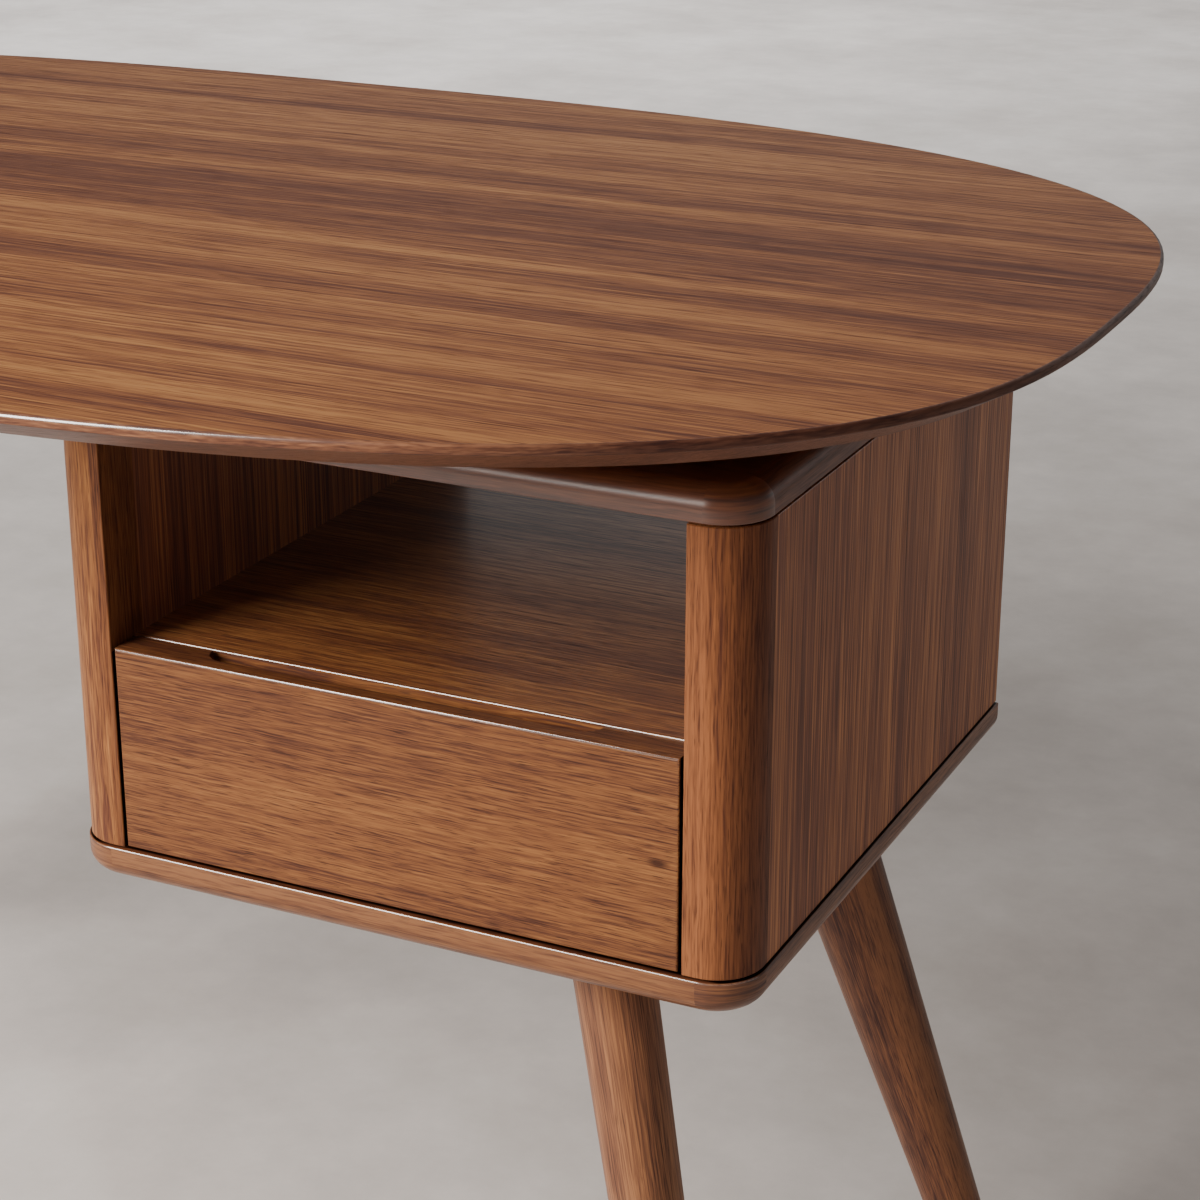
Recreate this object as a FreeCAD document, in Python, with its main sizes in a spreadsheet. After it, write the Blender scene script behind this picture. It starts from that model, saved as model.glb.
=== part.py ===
import FreeCAD, Part
import math
import os
import re

import Sketcher

# Writing desk with an oval top, a case with a cubby and one drawer at the right, and four splayed legs.
# The origin is on the floor under the middle of the tabletop. X runs along the desk, -Y is the front.

V = FreeCAD.Vector
doc = FreeCAD.newDocument("writing_desk")

# Driving sizes in millimetres, and the splays in degrees
SIZES = {
    # Tabletop
    "top_length": 1320,
    "top_depth": 780,
    "top_height": 750,
    "top_thick": 18,
    "top_rim": 5,
    "top_bevel": 23,
    "top_arris": 1.5,
    "outline_power": 2.8,
    # Battens between the tabletop and the case
    "rail_thick": 24,
    "rail_width": 50,
    "rail_spacing": 270,
    "rail_stop": 70,
    "rail_chamfer": 8,
    # Case
    "case_width": 400,
    "case_depth": 400,
    "case_height": 240,
    "case_right_inset": 105,
    "case_front_inset": 164,
    "cap_thick": 18,
    "base_thick": 20,
    "base_proud": 1.5,
    "edge_round": 12,
    "corner_round": 26,
    "wall_thick": 34,
    "post_depth": 30,
    "shadow_gap": 1,
    "shadow_depth": 2.5,
    "cubby_height": 121.5,
    "shelf_thick": 18,
    "shelf_arris": 1.5,
    "back_thick": 8,
    "back_rebate": 9,
    # Drawer
    "front_thick": 21,
    "front_gap": 2,
    "front_clear": 1,
    "front_arris": 1,
    "pull_length": 230,
    "pull_lip": 9,
    "pull_depth": 22,
    "pull_round": 11,
    "box_rear_room": 41,
    "box_height": 70,
    "box_rise": 22,
    "box_wall": 12,
    "box_bottom": 5,
    "box_bottom_rise": 8,
    "box_groove": 6,
    # Telescopic runners
    "runner_rear_room": 27,
    "runner_height": 35,
    "runner_space": 12.7,
    "runner_sheet": 1.2,
    "runner_nest": 0.4,
    "runner_middle_in": 3.2,
    "runner_flange": 9.4,
    "runner_middle_flange": 7.2,
    "runner_drawer_flange": 7.6,
    # Legs
    "leg_side_inset": 105,
    "leg_face_inset": 65,
    "splay_out": 14.8,
    "splay_apart": 11.9,
    "leg_front_top_radius": 22.5,
    "leg_rear_top_radius": 30,
    "leg_foot_radius": 15.5,
    "leg_spare": 14,
    "glide_radius": 11,
    "glide_thick": 4,
    "bearer_width": 100,
    "bearer_thick": 28,
    "bearer_end_inset": 10,
    "leg_rail_thick": 18,
    "leg_rail_width": 100,
    "leg_rail_front": 32,
    "leg_rail_rear": 28,
    # Fasteners
    "bolt_radius": 4,
    "bolt_head_radius": 7.5,
    "bolt_head_height": 5.5,
    "bolt_grip": 45,
    "bolt_bed": 12,
    "washer_radius": 10.5,
    "washer_thick": 1.6,
    "bolt_pocket_radius": 12,
    "screw_radius": 2,
    "screw_head_radius": 4,
    "screw_head_height": 2.4,
    "screw_pocket": 6,
    "screw_bite": 11,
    "small_screw_radius": 1.5,
    "small_screw_head_radius": 3.2,
    "small_screw_head_height": 1.4,
    "small_screw_bite": 12,
    "drawer_screw_bite": 9,
    "dowel_radius": 4,
    "dowel_length": 30,
    "dowel_short_end": 10,
    "hole_clear": 0.1,
    "pocket_clear": 0.8,
    "seat_clear": 0.2,
    "overrun": 5,
}

# Places that follow from the driving sizes, in the desk's own frame
PLACES = {
    "top_under": "top_height - top_thick",
    "rail_under": "top_under - rail_thick",
    "cap_under": "rail_under - cap_thick",
    "base_top": "cap_under - case_height",
    "base_under": "base_top - base_thick",
    "case_right": "top_length / 2 - case_right_inset",
    "case_left": "case_right - case_width",
    "case_front": "case_front_inset - top_depth / 2",
    "case_back": "case_front + case_depth",
    "case_middle_y": "case_front + case_depth / 2",
    "inner_left": "case_left + wall_thick",
    "inner_right": "case_right - wall_thick",
    "inner_width": "case_width - 2 * wall_thick",
    "shelf_top": "cap_under - cubby_height",
    "shelf_under": "shelf_top - shelf_thick",
    "front_back": "case_front + front_thick",
    "shelf_front": "front_back + front_clear",
    "box_under": "base_top + box_rise",
    "box_left": "inner_left + runner_space",
    "box_right": "inner_right - runner_space",
    "box_rear": "case_back - back_thick - box_rear_room",
    "box_length": "box_rear - front_back",
    "runner_middle_z": "box_under + box_height / 2",
    "runner_front": "shelf_front + 2 * front_clear",
    "runner_length": "box_rear - runner_rear_room - runner_front",
    "bearer_length": "case_depth - 2 * bearer_end_inset",
    "leg_rail_length": "case_depth - leg_rail_front - leg_rail_rear",
    "leg_right_x": "case_right - leg_side_inset",
    "leg_half_spread": "case_depth / 2 - leg_face_inset",
    "foot_x": "leg_right_x + base_under * tan(splay_out)",
    "foot_half_spread": "leg_half_spread + base_under * tan(splay_apart)",
    "bearer_under": "rail_under - bearer_thick",
    "leg_left_x": "0 - foot_x + bearer_under * tan(splay_out)",
    "splay_tilt": "atan(sqrt(tan(splay_out) * tan(splay_out) + tan(splay_apart) * tan(splay_apart)))",
    "rail_left": "leg_left_x - bearer_width / 2",
    "rail_right": "case_right - rail_stop",
    "rail_front_y": "case_middle_y - rail_spacing / 2",
    "rail_rear_y": "case_middle_y + rail_spacing / 2",
}

sheet = doc.addObject("Spreadsheet::Sheet", "sizes")
for row, (alias, size) in enumerate(SIZES.items(), start=1):
    sheet.set("A%d" % row, alias.replace("_", " "))
    sheet.set("B%d" % row, str(size))
    sheet.setAlias("B%d" % row, alias)
doc.recompute()


def expression(text):
    """Write a sum of named sizes the way the document reads it."""
    def owner(match):
        word = match.group(0)
        if word in SIZES:
            return "sizes." + word
        if word in PLACES:
            return "places." + word
        return word
    return re.sub(r"[a-z_][a-z_0-9]*", owner, str(text))


places = doc.addObject("App::VarSet", "places")
for place, text in PLACES.items():
    places.addProperty("App::PropertyFloat", place)
    places.setExpression(place, expression(text))
doc.recompute()


def value(text):
    """The number that a sum of named sizes comes to."""
    return float(places.evalExpression(expression(text)))


def bind(item, **sums):
    """Tie properties to sums of named sizes. A double underscore stands for a dot."""
    for name, text in sums.items():
        item.setExpression(name.replace("__", "."), expression(text))
    return item


def place_at(item, spot):
    return bind(item, Placement__Base__x=spot[0], Placement__Base__y=spot[1], Placement__Base__z=spot[2])


# Plain solids

def block(name, spot, size):
    """A board or bar, from its low corner and its length along X, Y and Z."""
    item = place_at(doc.addObject("Part::Box", name), spot)
    return bind(item, Length=size[0], Width=size[1], Height=size[2])


TURNS = {
    "+z": FreeCAD.Rotation(V(1, 0, 0), 0),
    "-z": FreeCAD.Rotation(V(1, 0, 0), 180),
    "+x": FreeCAD.Rotation(V(0, 1, 0), 90),
    "-x": FreeCAD.Rotation(V(0, 1, 0), -90),
    "+y": FreeCAD.Rotation(V(1, 0, 0), -90),
    "-y": FreeCAD.Rotation(V(1, 0, 0), 90),
}
STEPS = {
    "+z": (0, 0, 1), "-z": (0, 0, -1),
    "+x": (1, 0, 0), "-x": (-1, 0, 0),
    "+y": (0, 1, 0), "-y": (0, -1, 0),
}


def along(spot, way, distance):
    """A spot moved a distance along one of the six ways."""
    return tuple("(%s) + (%d) * (%s)" % (place, step, distance) for place, step in zip(spot, STEPS[way]))


def bar(name, radius, length, sides=0):
    """A round bar, or one drawn with that many flat sides."""
    if not sides:
        return bind(doc.addObject("Part::Cylinder", name), Radius=radius, Height=length)
    item = doc.addObject("Part::Prism", name)
    item.Polygon = sides
    return bind(item, Circumradius=radius, Height=length)


def rod(name, spot, way, radius, length, sides=0):
    """A bar that starts at a spot and runs along one of the six ways."""
    item = bar(name, radius, length, sides)
    item.Placement = FreeCAD.Placement(V(0, 0, 0), TURNS[way])
    return place_at(item, spot)


def joined(name, items):
    if len(items) == 1:
        return items[0]
    item = doc.addObject("Part::MultiFuse", name)
    item.Shapes = items
    return item


def cut(name, base, tools):
    item = doc.addObject("Part::Cut", name)
    item.Base = base
    item.Tool = joined(name + "_tools", tools)
    return item


# Sketched solids

LINE_START = 1
LINE_END = 2
ORIGIN_LINE = -1


def numbers(corner):
    return V(value(corner[0]), value(corner[1]), 0)


def shifted(items):
    """The same items, each in the place before its own, with the first at the end."""
    first, *others = items
    return [*others, first]


def sketch(body, name, role, corners, lift="0"):
    """A closed outline of straight lines on one of the body's planes, each corner tied to its sizes."""
    item = body.newObject("Sketcher::SketchObject", body.Name + "_" + name)
    plane = next(feature for feature in body.Origin.OriginFeatures if feature.Role == role)
    item.AttachmentSupport = [(plane, "")]
    item.MapMode = "FlatFace"
    bind(item, AttachmentOffset__Base__z=lift)
    spots = [numbers(corner) for corner in corners]
    lines = [item.addGeometry(Part.LineSegment(start, end)) for start, end in zip(spots, shifted(spots))]
    for line, follower in zip(lines, shifted(lines)):
        item.addConstraint(Sketcher.Constraint("Coincident", line, LINE_END, follower, LINE_START))
    for place, corner in enumerate(corners):
        spot = numbers(corner)
        for kind, number, text in (("DistanceX", spot.x, corner[0]), ("DistanceY", spot.y, corner[1])):
            tie = item.addConstraint(Sketcher.Constraint(
                kind, ORIGIN_LINE, LINE_START, place, LINE_START, number))
            item.setExpression("Constraints[%d]" % tie, expression(text))
    return item


def oblong(low_x, low_y, high_x, high_y):
    return [(low_x, low_y), (high_x, low_y), (high_x, high_y), (low_x, high_y)]


def new_body(name, spot):
    return place_at(doc.addObject("PartDesign::Body", name), spot)


def pad(body, profile, length, reverse=False):
    item = body.newObject("PartDesign::Pad", profile.Name + "_pad")
    item.Profile = profile
    item.Reversed = reverse
    bind(item, Length=length)
    doc.recompute()
    return item


def pocket(body, profile, length):
    """Cut a sketch down into the body, and make sure that it did cut."""
    before = body.Shape.Volume
    item = body.newObject("PartDesign::Pocket", profile.Name + "_pocket")
    item.Profile = profile
    bind(item, Length=length)
    doc.recompute()
    if not body.Shape.Volume < before:
        raise ValueError(item.Name + " cuts nothing")
    return item


NEAR = 1e-4


def upright(corner):
    """Picks the upright edges over one corner of the plan."""
    spot = numbers(corner)

    def test(edge):
        ends = [vertex.Point for vertex in edge.Vertexes]
        return len(ends) == 2 and all(math.hypot(end.x - spot.x, end.y - spot.y) < NEAR for end in ends)
    return test


def level(height, but_not_y=None):
    """Picks the edges that lie flat at one height, leaving out any that runs along one line of Y."""
    place = value(height)

    def test(edge):
        ends = [vertex.Point for vertex in edge.Vertexes]
        flat = all(abs(end.z - place) < NEAR for end in ends)
        back = but_not_y is not None and all(abs(end.y - value(but_not_y)) < NEAR for end in ends)
        return flat and not back
    return test


def on_y(depth):
    """Picks the edges in one plane square to Y."""
    place = value(depth)
    return lambda edge: all(abs(vertex.Point.y - place) < NEAR for vertex in edge.Vertexes)


def rounded(body, base, radius, *tests):
    """Round the edges of a feature that any of the tests picks."""
    names = ["Edge%d" % number for number, edge in enumerate(base.Shape.Edges, start=1)
             if any(test(edge) for test in tests)]
    item = body.newObject("PartDesign::Fillet", "%s_round_%d" % (body.Name, len(body.Group)))
    item.Base = (base, names)
    bind(item, Radius=radius)
    doc.recompute()
    return item


# Tabletop: one oval board. Its outline is a superellipse, its rim is upright and narrow,
# and a wide bevel below the rim makes the board look thin.

OVAL_POINTS = 72
ARRIS_STEPS = 2


def oval(inset, height):
    """The tabletop's outline drawn in square to its edge by an inset, as one closed curve."""
    half_length = value("top_length / 2")
    half_depth = value("top_depth / 2")
    power = value("outline_power")
    points = []
    for step in range(OVAL_POINTS):
        angle = 2 * math.pi * step / OVAL_POINTS
        across = math.cos(angle) / half_length
        along_y = math.sin(angle) / half_depth
        reach = (abs(across) ** power + abs(along_y) ** power) ** (-1 / power)
        outward = V(math.copysign(abs(reach * across) ** (power - 1) / half_length, across),
                    math.copysign(abs(reach * along_y) ** (power - 1) / half_depth, along_y), 0)
        outward.normalize()
        points.append(V(reach * math.cos(angle), reach * math.sin(angle), height) - outward * inset)
    curve = Part.BSplineCurve()
    curve.interpolate(Points=points, PeriodicFlag=True)
    return Part.Wire(curve.toShape())


def tabletop_shape():
    top = value("top_height")
    arris = value("top_arris")
    rings = [oval(value("top_bevel"), value("top_under")), oval(0, top - value("top_rim"))]
    for step in range(ARRIS_STEPS + 1):
        angle = math.pi / 2 * step / ARRIS_STEPS
        rings.append(oval(arris * (1 - math.cos(angle)), top - arris + arris * math.sin(angle)))
    return Part.makeLoft(rings, True, True)


tabletop_board = doc.addObject("Part::Feature", "tabletop_board")
tabletop_board.Shape = tabletop_shape()


# Fasteners: each group of like screws is one piece, with the bores and pockets that it sits in.
# The many small round bars and bores are drawn with a few flat sides, to keep the model light.

SCREW_SIDES = 8
BACK_WAYS = {"+z": "-z", "-z": "+z", "+x": "-x", "-x": "+x", "+y": "-y", "-y": "+y"}


def screw_group(label, seats, length, small=False):
    """Screws whose heads bear on their seats, and the bores that pass every piece they join."""
    kind = "small_screw" if small else "screw"
    solids = []
    hollows = []
    for number, (seat, way) in enumerate(seats):
        name = "%s_%d" % (label, number)
        back = BACK_WAYS[way]
        shank = rod(name + "_shank", seat, way, kind + "_radius", length, SCREW_SIDES)
        head = rod(name + "_head", seat, back, kind + "_head_radius", kind + "_head_height", SCREW_SIDES)
        solids += [shank, head]
        hollows.append(rod(name + "_bore", seat, way, kind + "_radius + hole_clear",
                           "(%s) + seat_clear" % length, SCREW_SIDES))
        hollows.append(rod(name + "_pocket", seat, back, kind + "_head_radius + pocket_clear",
                           "screw_pocket + overrun", SCREW_SIDES))
    return joined(label, solids), joined(label + "_bores", hollows)


def dowel_group(label, starts):
    """Dowels, and the blind holes that they are glued into."""
    solids = []
    hollows = []
    for number, (start, way) in enumerate(starts):
        name = "%s_%d" % (label, number)
        solids.append(rod(name + "_rod", start, way, "dowel_radius", "dowel_length", SCREW_SIDES))
        hollows.append(rod(name + "_hole", along(start, way, "0 - seat_clear"), way,
                           "dowel_radius + hole_clear", "dowel_length + 2 * seat_clear", SCREW_SIDES))
    return joined(label, solids), joined(label + "_holes", hollows)


TOP_SCREW_SHARES = (0.2, 0.5, 0.9)
RAIL_ROWS = ("rail_front_y", "rail_rear_y")
top_screws, top_bores = screw_group("top_screws", [
    (("rail_left + %s * (rail_right - rail_left)" % share, row, "rail_under + screw_pocket"), "+z")
    for row in RAIL_ROWS for share in TOP_SCREW_SHARES], "rail_thick - screw_pocket + screw_bite")

CASE_SCREW_SHARES = (0.15, 0.68)
case_screws, case_bores = screw_group("case_screws", [
    (("case_left + %s * case_width" % share, row, "cap_under + screw_pocket"), "+z")
    for row in RAIL_ROWS for share in CASE_SCREW_SHARES], "cap_thick - screw_pocket + screw_bite")

BEARER_SCREW_SHARES = (-0.3, 0.3)
bearer_screws, bearer_bores = screw_group("bearer_screws", [
    (("leg_left_x + (%s) * bearer_width" % share, row, "bearer_under + screw_pocket"), "+z")
    for row in RAIL_ROWS for share in BEARER_SCREW_SHARES], "bearer_thick - screw_pocket + screw_bite")

LEG_RAIL_SCREW_SHARES = (0.12, 0.88)
leg_rail_screws, leg_rail_bores = screw_group("leg_rail_screws", [
    (("leg_right_x + (%s - 1 / 2) * leg_rail_width" % across,
      "case_front + leg_rail_front + %s * leg_rail_length" % deep,
      "base_top + leg_rail_thick - screw_pocket"), "-z")
    for across in LEG_RAIL_SCREW_SHARES for deep in LEG_RAIL_SCREW_SHARES],
    "leg_rail_thick - screw_pocket + screw_bite")

RUNNER_SCREW_SHARES = (0.12, 0.88)
runner_case_screws, runner_case_bores = screw_group("runner_case_screws", [
    (("%s %s runner_sheet" % (wall, sign), "runner_front + %s * runner_length" % share,
      "runner_middle_z"), way)
    for wall, sign, way in (("inner_left", "+", "-x"), ("inner_right", "-", "+x"))
    for share in RUNNER_SCREW_SHARES], "runner_sheet + small_screw_bite", small=True)

runner_drawer_screws, runner_drawer_bores = screw_group("runner_drawer_screws", [
    (("%s %s runner_sheet" % (wall, sign), "runner_front + %s * runner_length" % share,
      "runner_middle_z"), way)
    for wall, sign, way in (("box_left", "-", "+x"), ("box_right", "+", "-x"))
    for share in RUNNER_SCREW_SHARES], "runner_sheet + drawer_screw_bite", small=True)

FRONT_SCREW_ACROSS_SHARES = (0.12, 0.88)
FRONT_SCREW_HIGH_SHARES = (0.4, 0.75)
drawer_front_screws, drawer_front_bores = screw_group("drawer_front_screws", [
    (("box_left + %s * (box_right - box_left)" % across, "front_back + box_wall",
      "box_under + %s * box_height" % high), "-y")
    for across in FRONT_SCREW_ACROSS_SHARES for high in FRONT_SCREW_HIGH_SHARES],
    "box_wall + small_screw_bite", small=True)

BACK_SCREW_SHARES = (0.2, 0.8)
back_screws, back_bores = screw_group("back_screws", [
    ((column, "case_back - small_screw_head_height",
      "base_top + %s * (shelf_under - base_top)" % share), "-y")
    for column in ("inner_left - back_rebate / 2", "inner_right + back_rebate / 2")
    for share in BACK_SCREW_SHARES], "back_thick + small_screw_bite", small=True)

SHELF_DOWEL_SHARES = (0.2, 0.8)
shelf_dowels, shelf_holes = dowel_group("shelf_dowels", [
    ((column, "shelf_front + %s * (case_back - shelf_front)" % share, "shelf_top - shelf_thick / 2"), "+x")
    for column in ("inner_left - dowel_short_end", "inner_right + dowel_short_end - dowel_length")
    for share in SHELF_DOWEL_SHARES])

CASE_DOWEL_SHARES = (0.25, 0.8)
case_dowels, case_holes = dowel_group("case_dowels", [
    ((column, "case_front + %s * case_depth" % share, height), "+z")
    for column in ("inner_left - wall_thick / 2", "inner_right + wall_thick / 2")
    for share in CASE_DOWEL_SHARES
    for height in ("base_top - dowel_short_end", "cap_under + dowel_short_end - dowel_length")])


# Legs: each stands on a foot that lies outside its top, and is drawn round its own sloping line

SIDES = {"left": -1, "right": 1}
FACES = {"front": -1, "rear": 1}
LEG_TOPS = {"left": "bearer_under", "right": "base_under"}
BOLT_BEDS = {"left": "rail_under - bolt_bed", "right": "base_top + leg_rail_thick - bolt_bed"}
LEG_SIDES = 40
BOLT_HEAD_SIDES = 6
WASHER_SIDES = 12


def on_leg_line(side, face, height):
    """The point where a leg's own line passes a height."""
    return ("(%d) * (foot_x - (%s) * tan(splay_out))" % (SIDES[side], height),
            "case_middle_y + (%d) * (foot_half_spread - (%s) * tan(splay_apart))" % (FACES[face], height),
            height)


def on_leg(item, side, face, height):
    """Stand a piece on the leg's own line at a height, square to that line."""
    start = "create(<<vector>>; %s; %s; %s)" % on_leg_line(side, face, height)
    turn = ("create(<<rotation>>; create(<<vector>>; (%d) * tan(splay_apart); (%d) * tan(splay_out); 0);"
            " splay_tilt)" % (FACES[face], -SIDES[side]))
    return bind(item, Placement="create(<<placement>>; %s; %s)" % (start, turn))


def leg_rod(name, side, face, height, radius, length, sides=SCREW_SIDES):
    """A bar that starts on the leg's own line at a height and runs up along it."""
    return on_leg(bar(name, radius, length, sides), side, face, height)


def leg_ring(name, side, face, height):
    """The leg's round section square to its line. It has so many flats that it reads as round."""
    ring = on_leg(doc.addObject("Part::RegularPolygon", name), side, face, height)
    ring.Polygon = LEG_SIDES
    taper = "(leg_%s_top_radius - leg_foot_radius) / (%s)" % (face, LEG_TOPS[side])
    return bind(ring, Circumradius="leg_foot_radius + %s * (%s)" % (taper, height))


def leg(side, face):
    """A turned leg, cut level at the foot and at the top, with a bore for its bolt."""
    name = "leg_%s_%s" % (face, side)
    top = LEG_TOPS[side]
    turned = doc.addObject("Part::Loft", name + "_turned")
    turned.Sections = [leg_ring(name + "_low_end", side, face, "0 - leg_spare"),
                       leg_ring(name + "_high_end", side, face, "%s + leg_spare" % top)]
    turned.Solid = True
    turned.Ruled = True
    slab = block(name + "_slab", ("0 - top_length", "0 - top_depth", "glide_thick"),
                 ("2 * top_length", "2 * top_depth", "%s - glide_thick" % top))
    level_ends = doc.addObject("Part::MultiCommon", name + "_level")
    level_ends.Shapes = [turned, slab]
    return cut(name, level_ends, [bolt_bores[side, face]])


def bolt_foot(side):
    return "(%s) - bolt_grip * cos(splay_tilt)" % LEG_TOPS[side]


def bolt(side, face):
    """A bolt that runs down through the rail into the leg, square to a bed sunk in the rail."""
    name = "leg_bolt_%s_%s" % (face, side)
    seat = "(%s) + washer_thick * cos(splay_tilt)" % BOLT_BEDS[side]
    reach = "((%s) - (%s)) / cos(splay_tilt)" % (seat, bolt_foot(side))
    shank = leg_rod(name + "_shank", side, face, bolt_foot(side), "bolt_radius", reach)
    head = leg_rod(name + "_head", side, face, seat,
                   "bolt_head_radius", "bolt_head_height", BOLT_HEAD_SIDES)
    return [shank, head]


def washer(side, face):
    name = "leg_washer_%s_%s" % (face, side)
    disc = leg_rod(name + "_disc", side, face, BOLT_BEDS[side],
                   "washer_radius", "washer_thick", WASHER_SIDES)
    hole = leg_rod(name + "_hole", side, face, "(%s) - overrun" % BOLT_BEDS[side],
                   "bolt_radius + seat_clear", "2 * overrun + washer_thick", WASHER_SIDES)
    return cut(name, disc, [hole])


def bolt_bore(side, face):
    """The hollow that one bolt, its washer and its head need."""
    name = "leg_bore_%s_%s" % (face, side)
    bed = BOLT_BEDS[side]
    start = "(%s) - seat_clear" % bolt_foot(side)
    bore = leg_rod(name + "_bore", side, face, start, "bolt_radius + seat_clear",
                   "((%s) + overrun - (%s)) / cos(splay_tilt)" % (bed, start))
    bed_pocket = leg_rod(name + "_pocket", side, face, bed, "bolt_pocket_radius", "bolt_bed + 2 * overrun")
    return joined(name, [bore, bed_pocket])


CORNERS = [(side, face) for side in SIDES for face in FACES]
bolt_bores = {corner: bolt_bore(*corner) for corner in CORNERS}
legs = {"leg_%s_%s" % (face, side): leg(side, face) for side, face in CORNERS}
leg_bolts = joined("leg_bolts", [solid for corner in CORNERS for solid in bolt(*corner)])
leg_washers = joined("leg_washers", [washer(*corner) for corner in CORNERS])


GLIDE_SIDES = 24


def glide(side, face):
    """A nylon disc under the foot, on the leg's own line."""
    return rod("glide_%s_%s" % (face, side), on_leg_line(side, face, "0"), "+z",
               "glide_radius", "glide_thick", GLIDE_SIDES)


glides = {"glide_%s_%s" % (face, side): glide(side, face) for side, face in CORNERS}


# Battens and cross rails

def rail(name, row):
    """A long batten below the tabletop, its lower ends cut off at a slant."""
    body = new_body(name + "_bar", ("rail_left", "%s - rail_width / 2" % row, "rail_under"))
    length = "rail_right - rail_left"
    profile = sketch(body, "side", "XZ_Plane", [
        ("rail_chamfer", "0"), ("%s - rail_chamfer" % length, "0"), (length, "rail_chamfer"),
        (length, "rail_thick"), ("0", "rail_thick"), ("0", "rail_chamfer")])
    pad(body, profile, "rail_width", reverse=True)
    return cut(name, body, [top_bores, case_bores, bearer_bores])


rails = {"rail_front": rail("rail_front", "rail_front_y"), "rail_rear": rail("rail_rear", "rail_rear_y")}
tabletop = cut("tabletop", tabletop_board, [top_bores])

bearer_left = cut("bearer_left", block(
    "bearer_left_bar",
    ("leg_left_x - bearer_width / 2", "case_middle_y - bearer_length / 2", "bearer_under"),
    ("bearer_width", "bearer_length", "bearer_thick")),
    [bearer_bores, bolt_bores["left", "front"], bolt_bores["left", "rear"]])

leg_rail_right = cut("leg_rail_right", block(
    "leg_rail_right_bar",
    ("leg_right_x - leg_rail_width / 2", "case_front + leg_rail_front", "base_top"),
    ("leg_rail_width", "leg_rail_length", "leg_rail_thick")),
    [leg_rail_bores, bolt_bores["right", "front"], bolt_bores["right", "rear"]])


# Case

def case_board(name, under, thick, proud, round_height):
    """The case's top or bottom board: round front corners, and one long edge rounded on three sides."""
    body = new_body(name + "_board", ("case_left", "case_front", under))
    low, wide = "0 - %s" % proud, "case_width + %s" % proud
    outline = sketch(body, "plan", "XY_Plane", oblong(low, low, wide, "case_depth"))
    board = pad(body, outline, thick)
    corners = rounded(body, board, "corner_round + %s" % proud, upright((low, low)), upright((wide, low)))
    rounded(body, corners, "edge_round", level(round_height, but_not_y="case_depth"))
    return body


case_top = cut("case_top", case_board("case_top", "cap_under", "cap_thick", "0", "cap_thick"),
               [case_bores, case_holes])
case_bottom = cut("case_bottom", case_board("case_bottom", "base_under", "base_thick", "base_proud", "0"),
                  [case_holes, leg_rail_bores, bolt_bores["right", "front"], bolt_bores["right", "rear"]])


def post(side):
    """A solid front post with a round outer corner, stepped in at both ends for a shadow line."""
    outer, inner, inward = {"left": ("0", "wall_thick", "+"), "right": ("wall_thick", "0", "-")}[side]
    low_x = "case_left" if side == "left" else "inner_right"
    body = new_body("post_" + side, (low_x, "case_front", "base_top"))
    inset = "%s %s shadow_depth" % (outer, inward)
    core_plan = sketch(body, "core", "XY_Plane", oblong(inset, "shadow_depth", inner, "post_depth"))
    core = pad(body, core_plan, "case_height")
    rounded(body, core, "corner_round - shadow_depth", upright((inset, "shadow_depth")))
    skin_plan = sketch(body, "skin", "XY_Plane", oblong(outer, "0", inner, "post_depth"), "shadow_gap")
    skin = pad(body, skin_plan, "case_height - 2 * shadow_gap")
    rounded(body, skin, "corner_round", upright((outer, "0")))
    return body


def side_wall(side):
    """A thick wall behind the post: shadow lines outside, a rebate inside for the back panel."""
    name = "side_" + side
    left = side == "left"
    wall_x = "case_left" if left else "inner_right"
    outer_x = "case_left - overrun" if left else "case_right - shadow_depth"
    rebate_x = "inner_left - back_rebate" if left else "inner_right - overrun"
    start = "case_front + post_depth"
    depth = "case_depth - post_depth"
    wall = block(name + "_wall", (wall_x, start, "base_top"), ("wall_thick", depth, "case_height"))
    hollows = [
        block(name + "_shadow_%d" % number, (outer_x, "%s - overrun" % start, height),
              ("overrun + shadow_depth", "%s + 2 * overrun" % depth, "overrun + shadow_gap"))
        for number, height in enumerate(("base_top - overrun", "cap_under - shadow_gap"))]
    hollows.append(block(
        name + "_rebate", (rebate_x, "case_back - back_thick", "base_top - overrun"),
        ("overrun + back_rebate", "back_thick + overrun", "shelf_under - base_top + overrun")))
    return cut(name, wall, hollows + [runner_case_bores, back_bores, shelf_holes, case_holes])


posts = {"post_" + side: post(side) for side in SIDES}
walls = {"side_" + side: side_wall(side) for side in SIDES}


def shelf_board():
    body = new_body("shelf_board", ("inner_left", "shelf_front", "shelf_under"))
    outline = sketch(body, "plan", "XY_Plane", oblong("0", "0", "inner_width", "case_back - shelf_front"))
    board = pad(body, outline, "shelf_thick")
    front_edge = on_y("0")
    top_edge = level("shelf_thick")
    rounded(body, board, "shelf_arris", lambda edge: front_edge(edge) and top_edge(edge))
    return body


shelf = cut("shelf", shelf_board(), [shelf_holes])

back_panel = cut("back_panel", block(
    "back_panel_board",
    ("inner_left - back_rebate + seat_clear", "case_back - back_thick", "base_top"),
    ("inner_width + 2 * (back_rebate - seat_clear)", "back_thick", "shelf_under - base_top")), [back_bores])


# Drawer

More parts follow.
